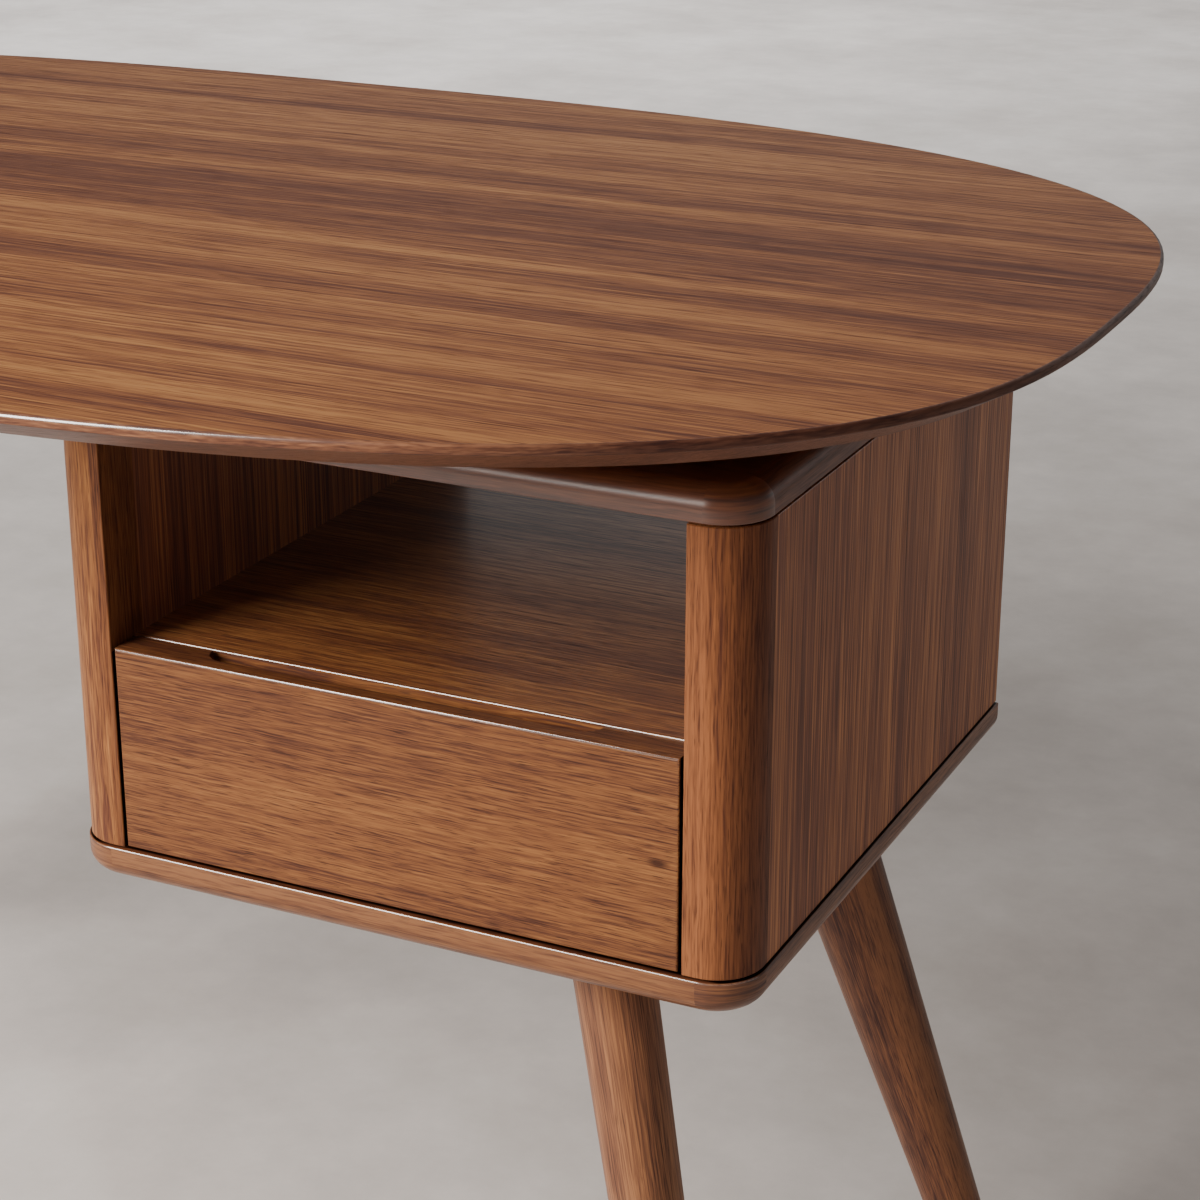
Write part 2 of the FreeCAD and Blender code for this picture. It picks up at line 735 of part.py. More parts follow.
def drawer_front_board():
    """The drawer front, with a finger pull sunk in its top edge and open to the back."""
    width = "inner_width - 2 * front_gap"
    height = "shelf_top - base_top - front_gap"
    body = new_body("drawer_front_board", ("inner_left + front_gap", "case_front", "base_top + front_gap"))
    face = sketch(body, "face", "XZ_Plane", oblong("0", "0", width, height))
    board = pad(body, face, "front_thick", reverse=True)
    eased = rounded(body, board, "front_arris", on_y("0"))
    low_x = "(%s - pull_length) / 2" % width
    high_x = "(%s + pull_length) / 2" % width
    outline = oblong(low_x, "pull_lip", high_x, "front_thick + overrun")
    mouth = sketch(body, "pull", "XY_Plane", outline, height)
    sunk = pocket(body, mouth, "pull_depth")
    rounded(body, sunk, "pull_round", upright((low_x, "pull_lip")), upright((high_x, "pull_lip")))
    return body


drawer_front = cut("drawer_front", drawer_front_board(), [drawer_front_bores])

GROOVE_IN = "(box_wall - box_groove)"
box_groove_ring = block(
    "box_groove_ring",
    ("box_left + " + GROOVE_IN, "front_back + " + GROOVE_IN, "box_under + box_bottom_rise"),
    ("box_right - box_left - 2 * " + GROOVE_IN, "box_length - 2 * " + GROOVE_IN, "box_bottom + seat_clear"))


def box_side(side):
    x = "box_left" if side == "left" else "box_right - box_wall"
    board = block("drawer_side_%s_board" % side, (x, "front_back", "box_under"),
                  ("box_wall", "box_length", "box_height"))
    return cut("drawer_side_" + side, board, [box_groove_ring, runner_drawer_bores])


def box_end(name, y, bores):
    """The drawer box's inner front or its back, held between the two sides."""
    board = block(name + "_board", ("box_left + box_wall", y, "box_under"),
                  ("box_right - box_left - 2 * box_wall", "box_wall", "box_height"))
    return cut(name, board, [box_groove_ring] + bores)


drawer_sides = {"drawer_side_" + side: box_side(side) for side in SIDES}
drawer_subfront = box_end("drawer_subfront", "front_back", [drawer_front_bores])
drawer_back = box_end("drawer_back", "box_rear - box_wall", [])
BOTTOM_IN = "(box_wall - box_groove + seat_clear)"
drawer_bottom = block(
    "drawer_bottom",
    ("box_left + " + BOTTOM_IN, "front_back + " + BOTTOM_IN, "box_under + box_bottom_rise"),
    ("box_right - box_left - 2 * " + BOTTOM_IN, "box_length - 2 * " + BOTTOM_IN, "box_bottom"))


# Runners: three pressed channels a side, nested one in the other

def runner(member, side, web, tip, half_height, bores=None):
    """One channel, from its web to the tips of its flanges, measured in from the case wall."""
    name = "runner_%s_%s" % (member, side)
    sign = 1 if side == "left" else -1
    inward = 1 if value(tip) > value(web) else -1
    spot = ("inner_left" if side == "left" else "inner_right", "runner_front", "runner_middle_z")
    body = new_body(name if bores is None else name + "_channel", spot)
    half = "(%s)" % half_height
    outer = "(%d) * (%s)" % (sign, web)
    inner = "(%d) * (%s + (%d) * runner_sheet)" % (sign, web, inward)
    end = "(%d) * (%s)" % (sign, tip)
    channel = sketch(body, "section", "XZ_Plane", [
        (outer, "0 - " + half), (end, "0 - " + half),
        (end, "runner_sheet - " + half), (inner, "runner_sheet - " + half),
        (inner, half + " - runner_sheet"), (end, half + " - runner_sheet"),
        (end, half), (outer, half)])
    pad(body, channel, "runner_length", reverse=True)
    return body if bores is None else cut(name, body, [bores])


NEST = "(runner_sheet + runner_nest)"
RUNNERS = {
    "case": ("0", "runner_flange", "runner_height / 2", runner_case_bores),
    "middle": ("runner_middle_in", "runner_middle_in + runner_middle_flange",
               "runner_height / 2 - %s" % NEST, None),
    "drawer": ("runner_space", "runner_space - runner_drawer_flange",
               "runner_height / 2 - 2 * %s" % NEST, runner_drawer_bores),
}
runners = {"runner_%s_%s" % (member, side): runner(member, side, *shape)
           for member, shape in RUNNERS.items() for side in SIDES}


# Check and write every piece

NODES = {
    "tabletop": tabletop, "bearer_left": bearer_left, "leg_rail_right": leg_rail_right,
    "case_top": case_top, "case_bottom": case_bottom, "shelf": shelf, "back_panel": back_panel,
    "drawer_front": drawer_front, "drawer_subfront": drawer_subfront, "drawer_back": drawer_back,
    "drawer_bottom": drawer_bottom, "top_screws": top_screws, "case_screws": case_screws,
    "bearer_screws": bearer_screws, "leg_rail_screws": leg_rail_screws,
    "runner_case_screws": runner_case_screws, "runner_drawer_screws": runner_drawer_screws,
    "drawer_front_screws": drawer_front_screws, "back_screws": back_screws,
    "shelf_dowels": shelf_dowels, "case_dowels": case_dowels,
    "leg_bolts": leg_bolts, "leg_washers": leg_washers,
    **rails, **posts, **walls, **drawer_sides, **runners, **legs, **glides,
}

doc.recompute()
for item in doc.Objects:
    if "Invalid" in item.State or "Error" in item.State:
        raise ValueError("%s did not compute: %s" % (item.Name, item.State))
for name, item in NODES.items():
    if item.Shape.isNull() or not item.Shape.isValid() or not item.Shape.Solids:
        raise ValueError(name + " has no valid solid")

os.makedirs("parts", exist_ok=True)
for name, item in NODES.items():
    item.Label = name
    item.Shape.exportStep(os.path.join("parts", name + ".step"))
print("%d pieces, %d solids" % (len(NODES), sum(len(item.Shape.Solids) for item in NODES.values())))
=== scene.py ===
import math

import bmesh
import bpy
from mathutils import Matrix, Vector


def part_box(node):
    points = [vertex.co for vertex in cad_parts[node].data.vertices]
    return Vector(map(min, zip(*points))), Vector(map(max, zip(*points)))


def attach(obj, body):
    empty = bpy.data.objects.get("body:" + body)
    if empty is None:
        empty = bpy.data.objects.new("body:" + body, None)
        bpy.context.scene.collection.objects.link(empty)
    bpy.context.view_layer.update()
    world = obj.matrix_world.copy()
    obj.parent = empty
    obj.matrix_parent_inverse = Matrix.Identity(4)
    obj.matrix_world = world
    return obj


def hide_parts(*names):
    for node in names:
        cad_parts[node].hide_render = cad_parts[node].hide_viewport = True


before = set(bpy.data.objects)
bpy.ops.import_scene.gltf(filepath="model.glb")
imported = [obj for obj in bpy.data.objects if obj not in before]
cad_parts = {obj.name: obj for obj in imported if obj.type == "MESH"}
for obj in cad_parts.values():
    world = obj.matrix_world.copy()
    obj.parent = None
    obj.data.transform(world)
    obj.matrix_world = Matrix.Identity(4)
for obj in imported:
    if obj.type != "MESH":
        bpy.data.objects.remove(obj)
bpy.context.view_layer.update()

MM = 0.001


# Studio. A wide pale plaster floor runs out under the desk, with soft lamps above it.
# The camera stands at the front right corner of the desk and looks down on it, as in the photograph.

CAMERA_PLACE = (1.0051, -1.3309, 1.1164)
CAMERA_PITCH = 0.3684
CAMERA_YAW = 0.4462
LENS = 82.37
SENSOR = 36
FLOOR_RADIUS = 14
FLOOR_SIDES = 96


def placed(name, data):
    """A new object in the scene."""
    item = bpy.data.objects.new(name, data)
    bpy.context.scene.collection.objects.link(item)
    return item


camera_data = bpy.data.cameras.new("camera")
camera_data.lens = LENS
camera_data.sensor_width = SENSOR
camera = placed("camera", camera_data)
camera.location = CAMERA_PLACE
camera.rotation_euler = (math.pi / 2 - CAMERA_PITCH, 0, CAMERA_YAW)
bpy.context.scene.camera = camera


def new_material(name):
    """A node material and its node tree."""
    material = bpy.data.materials.new(name)
    material.use_nodes = True
    return material, material.node_tree


def shader_of(material):
    return material.node_tree.nodes["Principled BSDF"]


def give(socket, part):
    """Links an input to another socket, or sets it to a value. A colour is red, green and blue."""
    if isinstance(part, bpy.types.NodeSocket):
        socket.id_data.links.new(part, socket)
    else:
        socket.default_value = (*part, 1) if socket.type == "RGBA" else part


def set_inputs(node, **parts):
    """Links or sets inputs of a node by their names, with _ for a space."""
    for name, part in parts.items():
        give(node.inputs[name.replace("_", " ")], part)


def new_node(tree, kind, **parts):
    """A shader node with its inputs linked or set."""
    node = tree.nodes.new("ShaderNode" + kind)
    set_inputs(node, **parts)
    return node


def tree_of(*parts):
    """The node tree of the first socket among the parts."""
    return next(part.id_data for part in parts if isinstance(part, bpy.types.NodeSocket))


def object_place(tree):
    """Where a point lies, in the object's own metres."""
    return new_node(tree, "TexCoord").outputs["Object"]


def split(vector):
    """The X, Y and Z of a vector socket."""
    return new_node(tree_of(vector), "SeparateXYZ", Vector=vector).outputs


def arithmetic(operation, *parts, kind="Math"):
    """One sum on values, each a socket or a number."""
    node = new_node(tree_of(*parts), kind)
    node.operation = operation
    for socket, part in zip(node.inputs, parts):
        give(socket, part)
    return node.outputs[0]


def vectors(operation, *parts):
    """One sum on vectors, each a socket or a fixed vector."""
    return arithmetic(operation, *parts, kind="VectorMath")


def noise(vector, scale, detail, roughness=0.5, output="Fac"):
    """A noise texture along a vector socket. Its scale is one number, or one for each axis."""
    if isinstance(scale, tuple):
        vector, scale = vectors("MULTIPLY", vector, scale), 1.0
    texture = new_node(tree_of(vector), "TexNoise",
                       Vector=vector, Scale=scale, Detail=detail, Roughness=roughness)
    return texture.outputs[output]


def remap(value, low, high, new_low=0, new_high=1):
    """A value stretched from one span to another, and held at its ends."""
    node = new_node(tree_of(value), "MapRange", Value=value,
                    From_Min=low, From_Max=high, To_Min=new_low, To_Max=new_high)
    return node.outputs["Result"]


def blend_colours(share, first, second, mode="MIX"):
    """Two colours mixed by a share. Each is a socket or a colour of its own."""
    node = new_node(tree_of(share, first, second), "Mix")
    node.data_type = "RGBA"
    node.blend_type = mode
    for name, part in (("Factor_Float", share), ("A_Color", first), ("B_Color", second)):
        give(next(socket for socket in node.inputs if socket.identifier == name), part)
    return next(socket for socket in node.outputs if socket.identifier == "Result_Color")


PLASTER_PALE = (0.86, 0.812, 0.78)
PLASTER_GREY = (0.68, 0.634, 0.602)
SPECK_SHADE = 0.925

plaster, tree = new_material("pale_plaster")
place = object_place(tree)
clouds = remap(noise(place, scale=2.6, detail=9, roughness=0.66), 0.36, 0.64)
specks = remap(noise(place, scale=13, detail=8, roughness=0.68), 0.34, 0.66, SPECK_SHADE, 1)
plain = blend_colours(clouds, PLASTER_GREY, PLASTER_PALE)
set_inputs(shader_of(plaster), Base_Color=blend_colours(1.0, plain, specks, "MULTIPLY"),
           Roughness=0.9, Specular_IOR_Level=0.15)


def stored(mesh, name="scratch"):
    """The data of a mesh that was drawn. The drawing is used up."""
    data = bpy.data.meshes.new(name)
    mesh.to_mesh(data)
    mesh.free()
    return data


floor_mesh = bmesh.new()
bmesh.ops.create_circle(floor_mesh, cap_ends=True, radius=FLOOR_RADIUS, segments=FLOOR_SIDES)
floor = placed("floor", stored(floor_mesh, "floor"))
floor.data.materials.append(plaster)


def soft_lamp(name, place, aim, width, height, power, colour=(1, 1, 1), spread=math.pi):
    """A rectangular soft lamp that faces a point, with its light held within a spread."""
    data = bpy.data.lights.new(name, "AREA")
    data.shape = "RECTANGLE"
    data.size = width
    data.size_y = height
    data.energy = power
    data.color = colour
    data.spread = spread
    lamp = placed(name, data)
    lamp.location = place
    lamp.rotation_euler = (Vector(aim) - Vector(place)).to_track_quat("-Z", "Y").to_euler()


DESK_MIDDLE = (0.1, -0.1, 0.6)
soft_lamp("key_lamp", place=(-1.15, -2.25, 2.0), aim=DESK_MIDDLE,
          width=1.5, height=1.9, power=172, colour=(1, 0.955, 0.90))
soft_lamp("back_lamp", place=(-2.4, 4.3, 5.0), aim=(-2.6, 4.5, 0),
          width=4, height=2, power=95, spread=math.radians(90))

ROOM_DIM = (0.21, 0.20, 0.192)
ROOM_BRIGHT = (0.62, 0.60, 0.585)

world = bpy.data.worlds.new("studio")
world.use_nodes = True
sky = world.node_tree
outlook = split(new_node(sky, "TexCoord").outputs["Generated"])
towards_back = remap(outlook["Y"], 0.62, 0.85)
set_inputs(sky.nodes["Background"], Color=blend_colours(towards_back, ROOM_DIM, ROOM_BRIGHT))
bpy.context.scene.world = world


# Tabletop. One oval board of walnut veneer with a solid lipping, its grain along the desk.
# The rim is narrow and upright, its top edge is eased by hand, and a wide bevel below thins the board.

OUTLINE_POINTS = 288
OUTLINE_POWER = 2.8
RIM = 5 * MM
RIM_BEVEL = 23 * MM
RIM_ARRIS = 1.9 * MM
LOW_ARRIS = 0.5 * MM
ARRIS_STEPS = 5
BROAD, RUBBED, RIM_FACE, BEVEL_FACE = range(4)


def skin(rings, finishes=(), hollow=False):
    """A solid over rings of as many points, closed at both ends or hollow right through.

    Each band between two rings may have a finish of its own.
    """
    mesh = bmesh.new()
    rows = [[mesh.verts.new(point) for point in ring] for ring in rings]
    if hollow:
        rows.append(rows[0])
    for band, (low, high) in enumerate(zip(rows, rows[1:])):
        for corners in zip(low, low[1:] + low[:1], high[1:] + high[:1], high):
            face = mesh.faces.new(corners)
            face.material_index = finishes[band] if finishes else BROAD
    if not hollow:
        mesh.faces.new(list(reversed(rows[0])))
        mesh.faces.new(rows[-1])
    bmesh.ops.recalc_face_normals(mesh, faces=mesh.faces)
    return mesh


SMOOTH_UP_TO = math.radians(40)


def piece_from(mesh, name, materials, body, node):
    """A finished mesh as a piece: smooth over its small rounds, flat on its broad faces."""
    for face in mesh.faces:
        face.material_index = min(face.material_index, len(materials) - 1)
    data = stored(mesh, name)
    data.shade_smooth()
    data.set_sharp_from_angle(angle=SMOOTH_UP_TO)
    for material in materials:
        data.materials.append(material)
    piece = placed(name, data)
    piece.modifiers.new("even_shading", "WEIGHTED_NORMAL").keep_sharp = True
    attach(piece, body)
    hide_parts(node)


# How often the marks of the wood come in a metre, along the fibres and across them
WANDERS = (1.6, 7, 7)
WAVERS = (24, 50, 50)
BANDS = (0.9, 26, 26)
LINES = (6.5, 400, 400)
HAIRS = (34, 900, 900)
PORES = (75, 1700, 1700)
WAVER = 0.0022
HAIR_STRENGTH = 1.05
PORE_SHADE = (0.45, 0.4, 0.4)
LOG_STEP = (1.7, 0.9, 1.3)


def build_grain():
    """Wood grain along the vector's X: broad bands, fine lines and short open pores."""
    group = bpy.data.node_groups.new("wood_grain", "ShaderNodeTree")
    for way, kind, names in (("INPUT", "Vector", ["Vector"]),
                             ("INPUT", "Float", ["Board", "Wander", "Bands", "Lines", "Pores"]),
                             ("INPUT", "Color", ["Pale", "Middle", "Dark"]),
                             ("OUTPUT", "Color", ["Colour"]),
                             ("OUTPUT", "Float", ["Roughness", "Height"])):
        for name in names:
            group.interface.new_socket(name, in_out=way, socket_type="NodeSocket" + kind)
    source = group.nodes.new("NodeGroupInput").outputs
    result = group.nodes.new("NodeGroupOutput").inputs

    # Each board is read from another place in the log
    along = vectors("ADD", source["Vector"], vectors("MULTIPLY", source["Board"], LOG_STEP))

    # The fibres wander sideways over a hand's breadth, and waver a little from one inch to the next
    fibres = along
    for frequency, reach in ((WANDERS, source["Wander"]), (WAVERS, (WAVER,) * 3)):
        drift = vectors("SUBTRACT", noise(along, frequency, 2.0, output="Color"), (0.5, 0.5, 0.5))
        sideways = vectors("MULTIPLY", drift, (0, 1, 1))
        fibres = vectors("ADD", fibres, vectors("MULTIPLY", sideways, reach))

    bands = noise(fibres, BANDS, 2.5)
    lines = noise(fibres, LINES, 3.0, 0.6)
    hairs = noise(fibres, HAIRS, 2.0, 0.6)
    short_pores = remap(noise(fibres, PORES, 1.0), 0.60, 0.70)
    long_pores = remap(hairs, 0.38, 0.27)
    open_pores = arithmetic("MAXIMUM", short_pores, long_pores)

    tone = 0.0
    for marks, strength in ((bands, source["Bands"]), (lines, source["Lines"]), (hairs, HAIR_STRENGTH)):
        swing = arithmetic("MULTIPLY", arithmetic("SUBTRACT", marks, 0.5), strength)
        tone = arithmetic("ADD", tone, swing)
    darker = remap(tone, -0.25, 0.0, 1, 0)
    paler = remap(tone, 0.0, 0.25)
    fibre_colour = blend_colours(darker, source["Middle"], source["Dark"])
    fibre_colour = blend_colours(paler, fibre_colour, source["Pale"])
    pore_colour = blend_colours(1.0, source["Dark"], PORE_SHADE, "MULTIPLY")
    pore_share = arithmetic("MULTIPLY", open_pores, source["Pores"])
    give(result["Colour"], blend_colours(pore_share, fibre_colour, pore_colour))

    polish = remap(tone, -0.3, 0.3, 0.43, 0.35)
    give(result["Roughness"], arithmetic("ADD", polish, arithmetic("MULTIPLY", open_pores, 0.12)))
    give(result["Height"], arithmetic("SUBTRACT", arithmetic("MULTIPLY", hairs, 0.4), open_pores))
    return group


wood_grain = build_grain()
GRAIN_TURNS = {"X": (0, 0, 0), "Y": (0, 0, -math.pi / 2), "Z": (0, math.pi / 2, 0)}
GRAIN_STRENGTH = 0.35
RUBBED_BLUR = 0.22
RUBBED_IOR = 2.4


def wood(name, along, colours, board, bands=1.0, lines=1.0, pores=0.6, wander=0.012,
         gloss=0.25, coat=0.0, coat_blur=0.15, relief=0.05, shorten=1, finer=1):
    """A lacquered wood from a pale, a middle and a dark colour, and the same wood rubbed bright.

    Its grain runs along X, Y, Z or a turn of its own, from the place of its board in the log.
    """
    material, tree = new_material(name)
    turned = new_node(tree, "Mapping", Vector=object_place(tree), Rotation=GRAIN_TURNS.get(along, along))
    grain = new_node(tree, "Group")
    grain.node_tree = wood_grain
    pale, middle, dark = colours
    set_inputs(grain, Vector=vectors("MULTIPLY", turned.outputs["Vector"], (shorten, finer, finer)),
               Board=board, Wander=wander, Bands=bands, Lines=lines, Pores=pores,
               Pale=pale, Middle=middle, Dark=dark)
    bump = new_node(tree, "Bump", Strength=GRAIN_STRENGTH, Distance=relief * MM,
                    Height=grain.outputs["Height"])
    set_inputs(shader_of(material), Base_Color=grain.outputs["Colour"], Normal=bump.outputs["Normal"],
               Roughness=grain.outputs["Roughness"], Specular_IOR_Level=gloss,
               Coat_Weight=coat, Coat_Roughness=coat_blur)
    rubbed = material.copy()
    rubbed.name = name + "_arris"
    shader = shader_of(rubbed)
    set_inputs(shader, Coat_Weight=1.0, Coat_Roughness=RUBBED_BLUR, Coat_IOR=RUBBED_IOR)
    rubbed.node_tree.links.remove(shader.inputs["Normal"].links[0])
    return [material, rubbed]


def darken(material, share, shade):
    """Multiplies a material's colour by a shade, as far as a share says."""
    socket = shader_of(material).inputs["Base Color"]
    colour = socket.links[0].from_socket
    give(socket, blend_colours(share, colour, blend_colours(1.0, colour, shade, "MULTIPLY")))


def darken_along(axis, materials, low, high, shade):
    """Wood that turns darker, as painted shade, from one place to another along an axis."""
    for material in materials:
        place = split(object_place(material.node_tree))[axis]
        darken(material, remap(place, low, high), shade)


def bent_round(material, centre, radius):
    """Grain that follows a bend about an upright axis, as in a strip that was steamed and bent."""
    turned = material.node_tree.nodes["Mapping"]
    straight = turned.inputs["Vector"].links[0].from_socket
    from_centre = split(vectors("SUBTRACT", straight, (centre.x, centre.y, 0)))
    angle = arithmetic("ARCTAN2", from_centre["Y"], from_centre["X"])
    bent = new_node(material.node_tree, "CombineXYZ",
                    X=arithmetic("MULTIPLY", angle, radius), Z=from_centre["Z"])
    set_inputs(turned, Vector=bent.outputs["Vector"])
    return material


TOP_COLOURS = ((0.40, 0.174, 0.055), (0.235, 0.084, 0.029), (0.110, 0.036, 0.020))
walnut_top = wood("walnut_top", "X", TOP_COLOURS, board=0.3,
                  bands=1.25, pores=0.55, gloss=0.06, shorten=0.6)

top_low, top_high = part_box("tabletop")
# The top's right half turns darker towards its end: painted shade.
TOP_PAINTED_SHADE = (0.82, 0.73, 0.68)
darken_along("X", walnut_top, top_high.x / 2, top_high.x, TOP_PAINTED_SHADE)


def fade_shine(material, low, high):
    """The rubbed shine is lost towards both ends of the desk, over one stretch of X."""
    outwards = arithmetic("ABSOLUTE", split(object_place(material.node_tree))["X"])
    set_inputs(shader_of(material), Coat_Weight=remap(outwards, low, high, 1, 0))


def oval(inset, height):
    """The tabletop's outline, drawn in square to its edge by an inset."""
    half_length, half_depth = top_high.x, top_high.y
    points = []
    for step in range(OUTLINE_POINTS):
        angle = 2 * math.pi * step / OUTLINE_POINTS
        across = math.cos(angle) / half_length
        inward = math.sin(angle) / half_depth
        reach = (abs(across) ** OUTLINE_POWER + abs(inward) ** OUTLINE_POWER) ** (-1 / OUTLINE_POWER)
        outward = Vector((
            math.copysign(abs(reach * across) ** (OUTLINE_POWER - 1) / half_length, across),
            math.copysign(abs(reach * inward) ** (OUTLINE_POWER - 1) / half_depth, inward), 0)).normalized()
        points.append(Vector((reach * math.cos(angle), reach * math.sin(angle), height)) - outward * inset)
    return points


def quarter_round(radius, steps):
    """A rounded edge, as its distances in from the two faces that met there."""
    turns = [math.pi / 2 * step / steps for step in range(steps + 1)]
    return [(radius * (1 - math.cos(turn)), radius * (1 - math.sin(turn))) for turn in turns]


RUBBED_UP_TO = -0.3
SITTERS_SIDE = -0.93


def tabletop_mesh():
    """The oval board. The arris along the sitter's side is rubbed bright by their arms."""
    low_z, high_z = top_low.z, top_high.z
    rings = [oval(RIM_BEVEL + LOW_ARRIS, low_z), oval(RIM_BEVEL - LOW_ARRIS, low_z + LOW_ARRIS / 2),
             oval(LOW_ARRIS, high_z - RIM - LOW_ARRIS / 2), oval(0, high_z - RIM + LOW_ARRIS)]
    rings += [oval(inset, high_z - drop) for inset, drop in quarter_round(RIM_ARRIS, ARRIS_STEPS)]
    mesh = skin(rings, [BEVEL_FACE, BEVEL_FACE, RIM_FACE, RIM_FACE] + ARRIS_STEPS * [RUBBED])
    for face in mesh.faces:
        off_the_sitters_side = face.normal.xy.normalized().y > SITTERS_SIDE
        if face.material_index == RUBBED and (off_the_sitters_side or face.normal.y > RUBBED_UP_TO):
            face.material_index = RIM_FACE
    return mesh


LIPPING_COLOURS = ((0.31, 0.140, 0.072), (0.190, 0.077, 0.041), (0.095, 0.036, 0.023))
BEVEL_COLOURS = ((0.17, 0.070, 0.037), (0.125, 0.049, 0.028), (0.09, 0.035, 0.021))
# The lipping turns darker towards the right-hand end of the desk: painted shade.
RIM_PAINTED_SHADE = (0.36, 0.31, 0.36)
RIM_SHADE_SHARES = (0.62, 0.82)
SHINE_SHARES = (0.56, 0.66)
walnut_rim = wood("walnut_lipping", "X", LIPPING_COLOURS, board=1.9,
                  bands=0.7, shorten=4, pores=0.1, relief=0.01, gloss=0.2)
darken_along("X", walnut_rim, *(share * top_high.x for share in RIM_SHADE_SHARES), RIM_PAINTED_SHADE)
for material in walnut_rim:
    bent_round(material, Vector((0, 0)), top_high.y)
fade_shine(walnut_rim[1], *(share * top_high.x for share in SHINE_SHARES))
walnut_bevel, _ = wood("walnut_bevel", "X", BEVEL_COLOURS, board=1.4, pores=0.1, gloss=0.5)
piece_from(tabletop_mesh(), "oval_top", [walnut_top[0], walnut_rim[1], walnut_rim[0], walnut_bevel],
           "desk", "tabletop")


# Case top and bottom. Two boards lipped in solid walnut, with a bent piece let in at each front corner,
# then rounded along one edge with a large round-over cutter. The bottom board stands proud of the case,
# and its upper face carries painted shade, black behind the gap under the drawer front, so that the gap
# reads dark.

CORNER_ROUND = 26 * MM
BASE_PROUD = 1.5 * MM
END_COAT = 0.25
EDGE_ROUND = 12 * MM
FINE_ARRIS = 0.8 * MM
CORNER_STEPS = 16
EDGE_STEPS = 9
END_LIPPING, LEFT_CORNER, RIGHT_CORNER, PAINTED_SHADE_FACE = range(2, 6)


def rounded_outline(corners, height):
    """A level outline from corners, each (x, y) where it is sharp or (x, y, radius, steps)."""
    points = []
    for place, (x, y, *rounding) in enumerate(corners):
        spot = Vector((x, y, height))
        if not rounding:
            points.append(spot)
            continue
        before = (Vector((*corners[place - 1][:2], height)) - spot).normalized()
        after = (Vector((*corners[place + 1 - len(corners)][:2], height)) - spot).normalized()
        for along_after, along_before in quarter_round(*rounding):
            points.append(spot + before * along_before + after * along_after)
    return points


def case_board_mesh(node, corner, round_at_top):
    """A board with a round long edge on three sides, and a fine arris on the other."""
    low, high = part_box(node)

    def ring(inset, height):
        left, right, front = low.x + inset, high.x - inset, low.y + inset
        rounding = (corner - inset, CORNER_STEPS)
        return rounded_outline([(left, high.y), (left, front, *rounding),
                                (right, front, *rounding), (right, high.y)], height)

    way = 1 if round_at_top else -1
    fine_face, round_face = (low.z, high.z) if round_at_top else (high.z, low.z)
    rings = [ring(inset, fine_face + way * rise)
             for rise, inset in quarter_round(FINE_ARRIS, ARRIS_STEPS)]
    rings += [ring(inset, round_face - way * drop)
              for inset, drop in quarter_round(EDGE_ROUND, EDGE_STEPS)]
    mesh = skin(rings, ARRIS_STEPS * [BROAD if round_at_top else RUBBED] + (EDGE_STEPS + 1) * [BROAD])
    for face in mesh.faces:
        middle = face.calc_center_median()
        rubbed = face.material_index == RUBBED and face.normal.y < RUBBED_UP_TO
        if rubbed or abs(face.normal.z) > 1 - NEAR:
            continue
        if middle.y > low.y + corner:
            face.material_index = END_LIPPING
        elif middle.x < low.x + corner:
            face.material_index = LEFT_CORNER
        elif middle.x > high.x - corner:
            face.material_index = RIGHT_CORNER
        elif face.material_index == RUBBED:
            face.material_index = BROAD
    return mesh


def lipped(node, corner, colours, **look):
    """The woods of a case board: its front, its rubbed arris, its ends and its two bent corners."""
    low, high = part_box(node)
    woods = wood("walnut_" + node, "X", colours, board=2.1, **look)
    end_look = dict(look, coat=END_COAT)
    woods.append(wood("walnut_" + node + "_end", "Y", colours, board=2.8, **end_look)[0])
    for place in (low.x + corner, high.x - corner):
        bent = wood("walnut_" + node + "_corner", "X", colours, board=place, **look)[0]
        woods.append(bent_round(bent, Vector((place, low.y + corner)), corner))
    return woods


NEAR_FLAT = math.radians(0.1)
NEAR = 1e-5
FINISHES = 6


def carve(mesh, *tools):
    """Cut the tool meshes out of a mesh. All of them are used up."""
    scratch = []
    for part in (mesh, *tools):
        data = stored(part)
        for _ in range(FINISHES):
            data.materials.append(None)
        scratch.append(placed("scratch", data))
    for tool in scratch[1:]:
        modifier = scratch[0].modifiers.new("cut", "BOOLEAN")
        modifier.operation = "DIFFERENCE"
        modifier.solver = "EXACT"
        modifier.object = tool
    view = bpy.context.evaluated_depsgraph_get()
    data = bpy.data.meshes.new_from_object(scratch[0].evaluated_get(view))
    result = bmesh.new()
    result.from_mesh(data)
    bpy.data.meshes.remove(data)
    for part in scratch:
        bpy.data.objects.remove(part)
    bmesh.ops.dissolve_limit(result, angle_limit=NEAR_FLAT, verts=result.verts, edges=result.edges)
    return result


SCREW_HEAD = (4 * MM, 2.4 * MM)
SMALL_SCREW_HEAD = (3.2 * MM, 1.4 * MM)
POCKET_CLEAR = 0.8 * MM
BORE_SIDES = 32
POCKET_DEEP = 12 * MM
AXES = {"X": Vector((1, 0, 0)), "Y": Vector((0, 1, 0)), "Z": Vector((0, 0, 1))}


def solids_in(node):
    """The corner points of each separate solid in a CAD node that holds a group."""
    mesh = bmesh.new()
    mesh.from_mesh(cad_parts[node].data)
    bmesh.ops.remove_doubles(mesh, verts=mesh.verts, dist=NEAR)
    waiting = set(mesh.verts)
    groups = []
    while waiting:
        reached = [waiting.pop()]
        group = []
        while reached:
            vert = reached.pop()
            group.append(vert.co.copy())
            near = {edge.other_vert(vert) for edge in vert.link_edges} & waiting
            waiting -= near
            reached += near
        groups.append(group)
    mesh.free()

    def low_corner(group):
        return [round(min(spot[axis] for spot in group), 4) for axis in range(3)]

    return sorted(groups, key=low_corner)


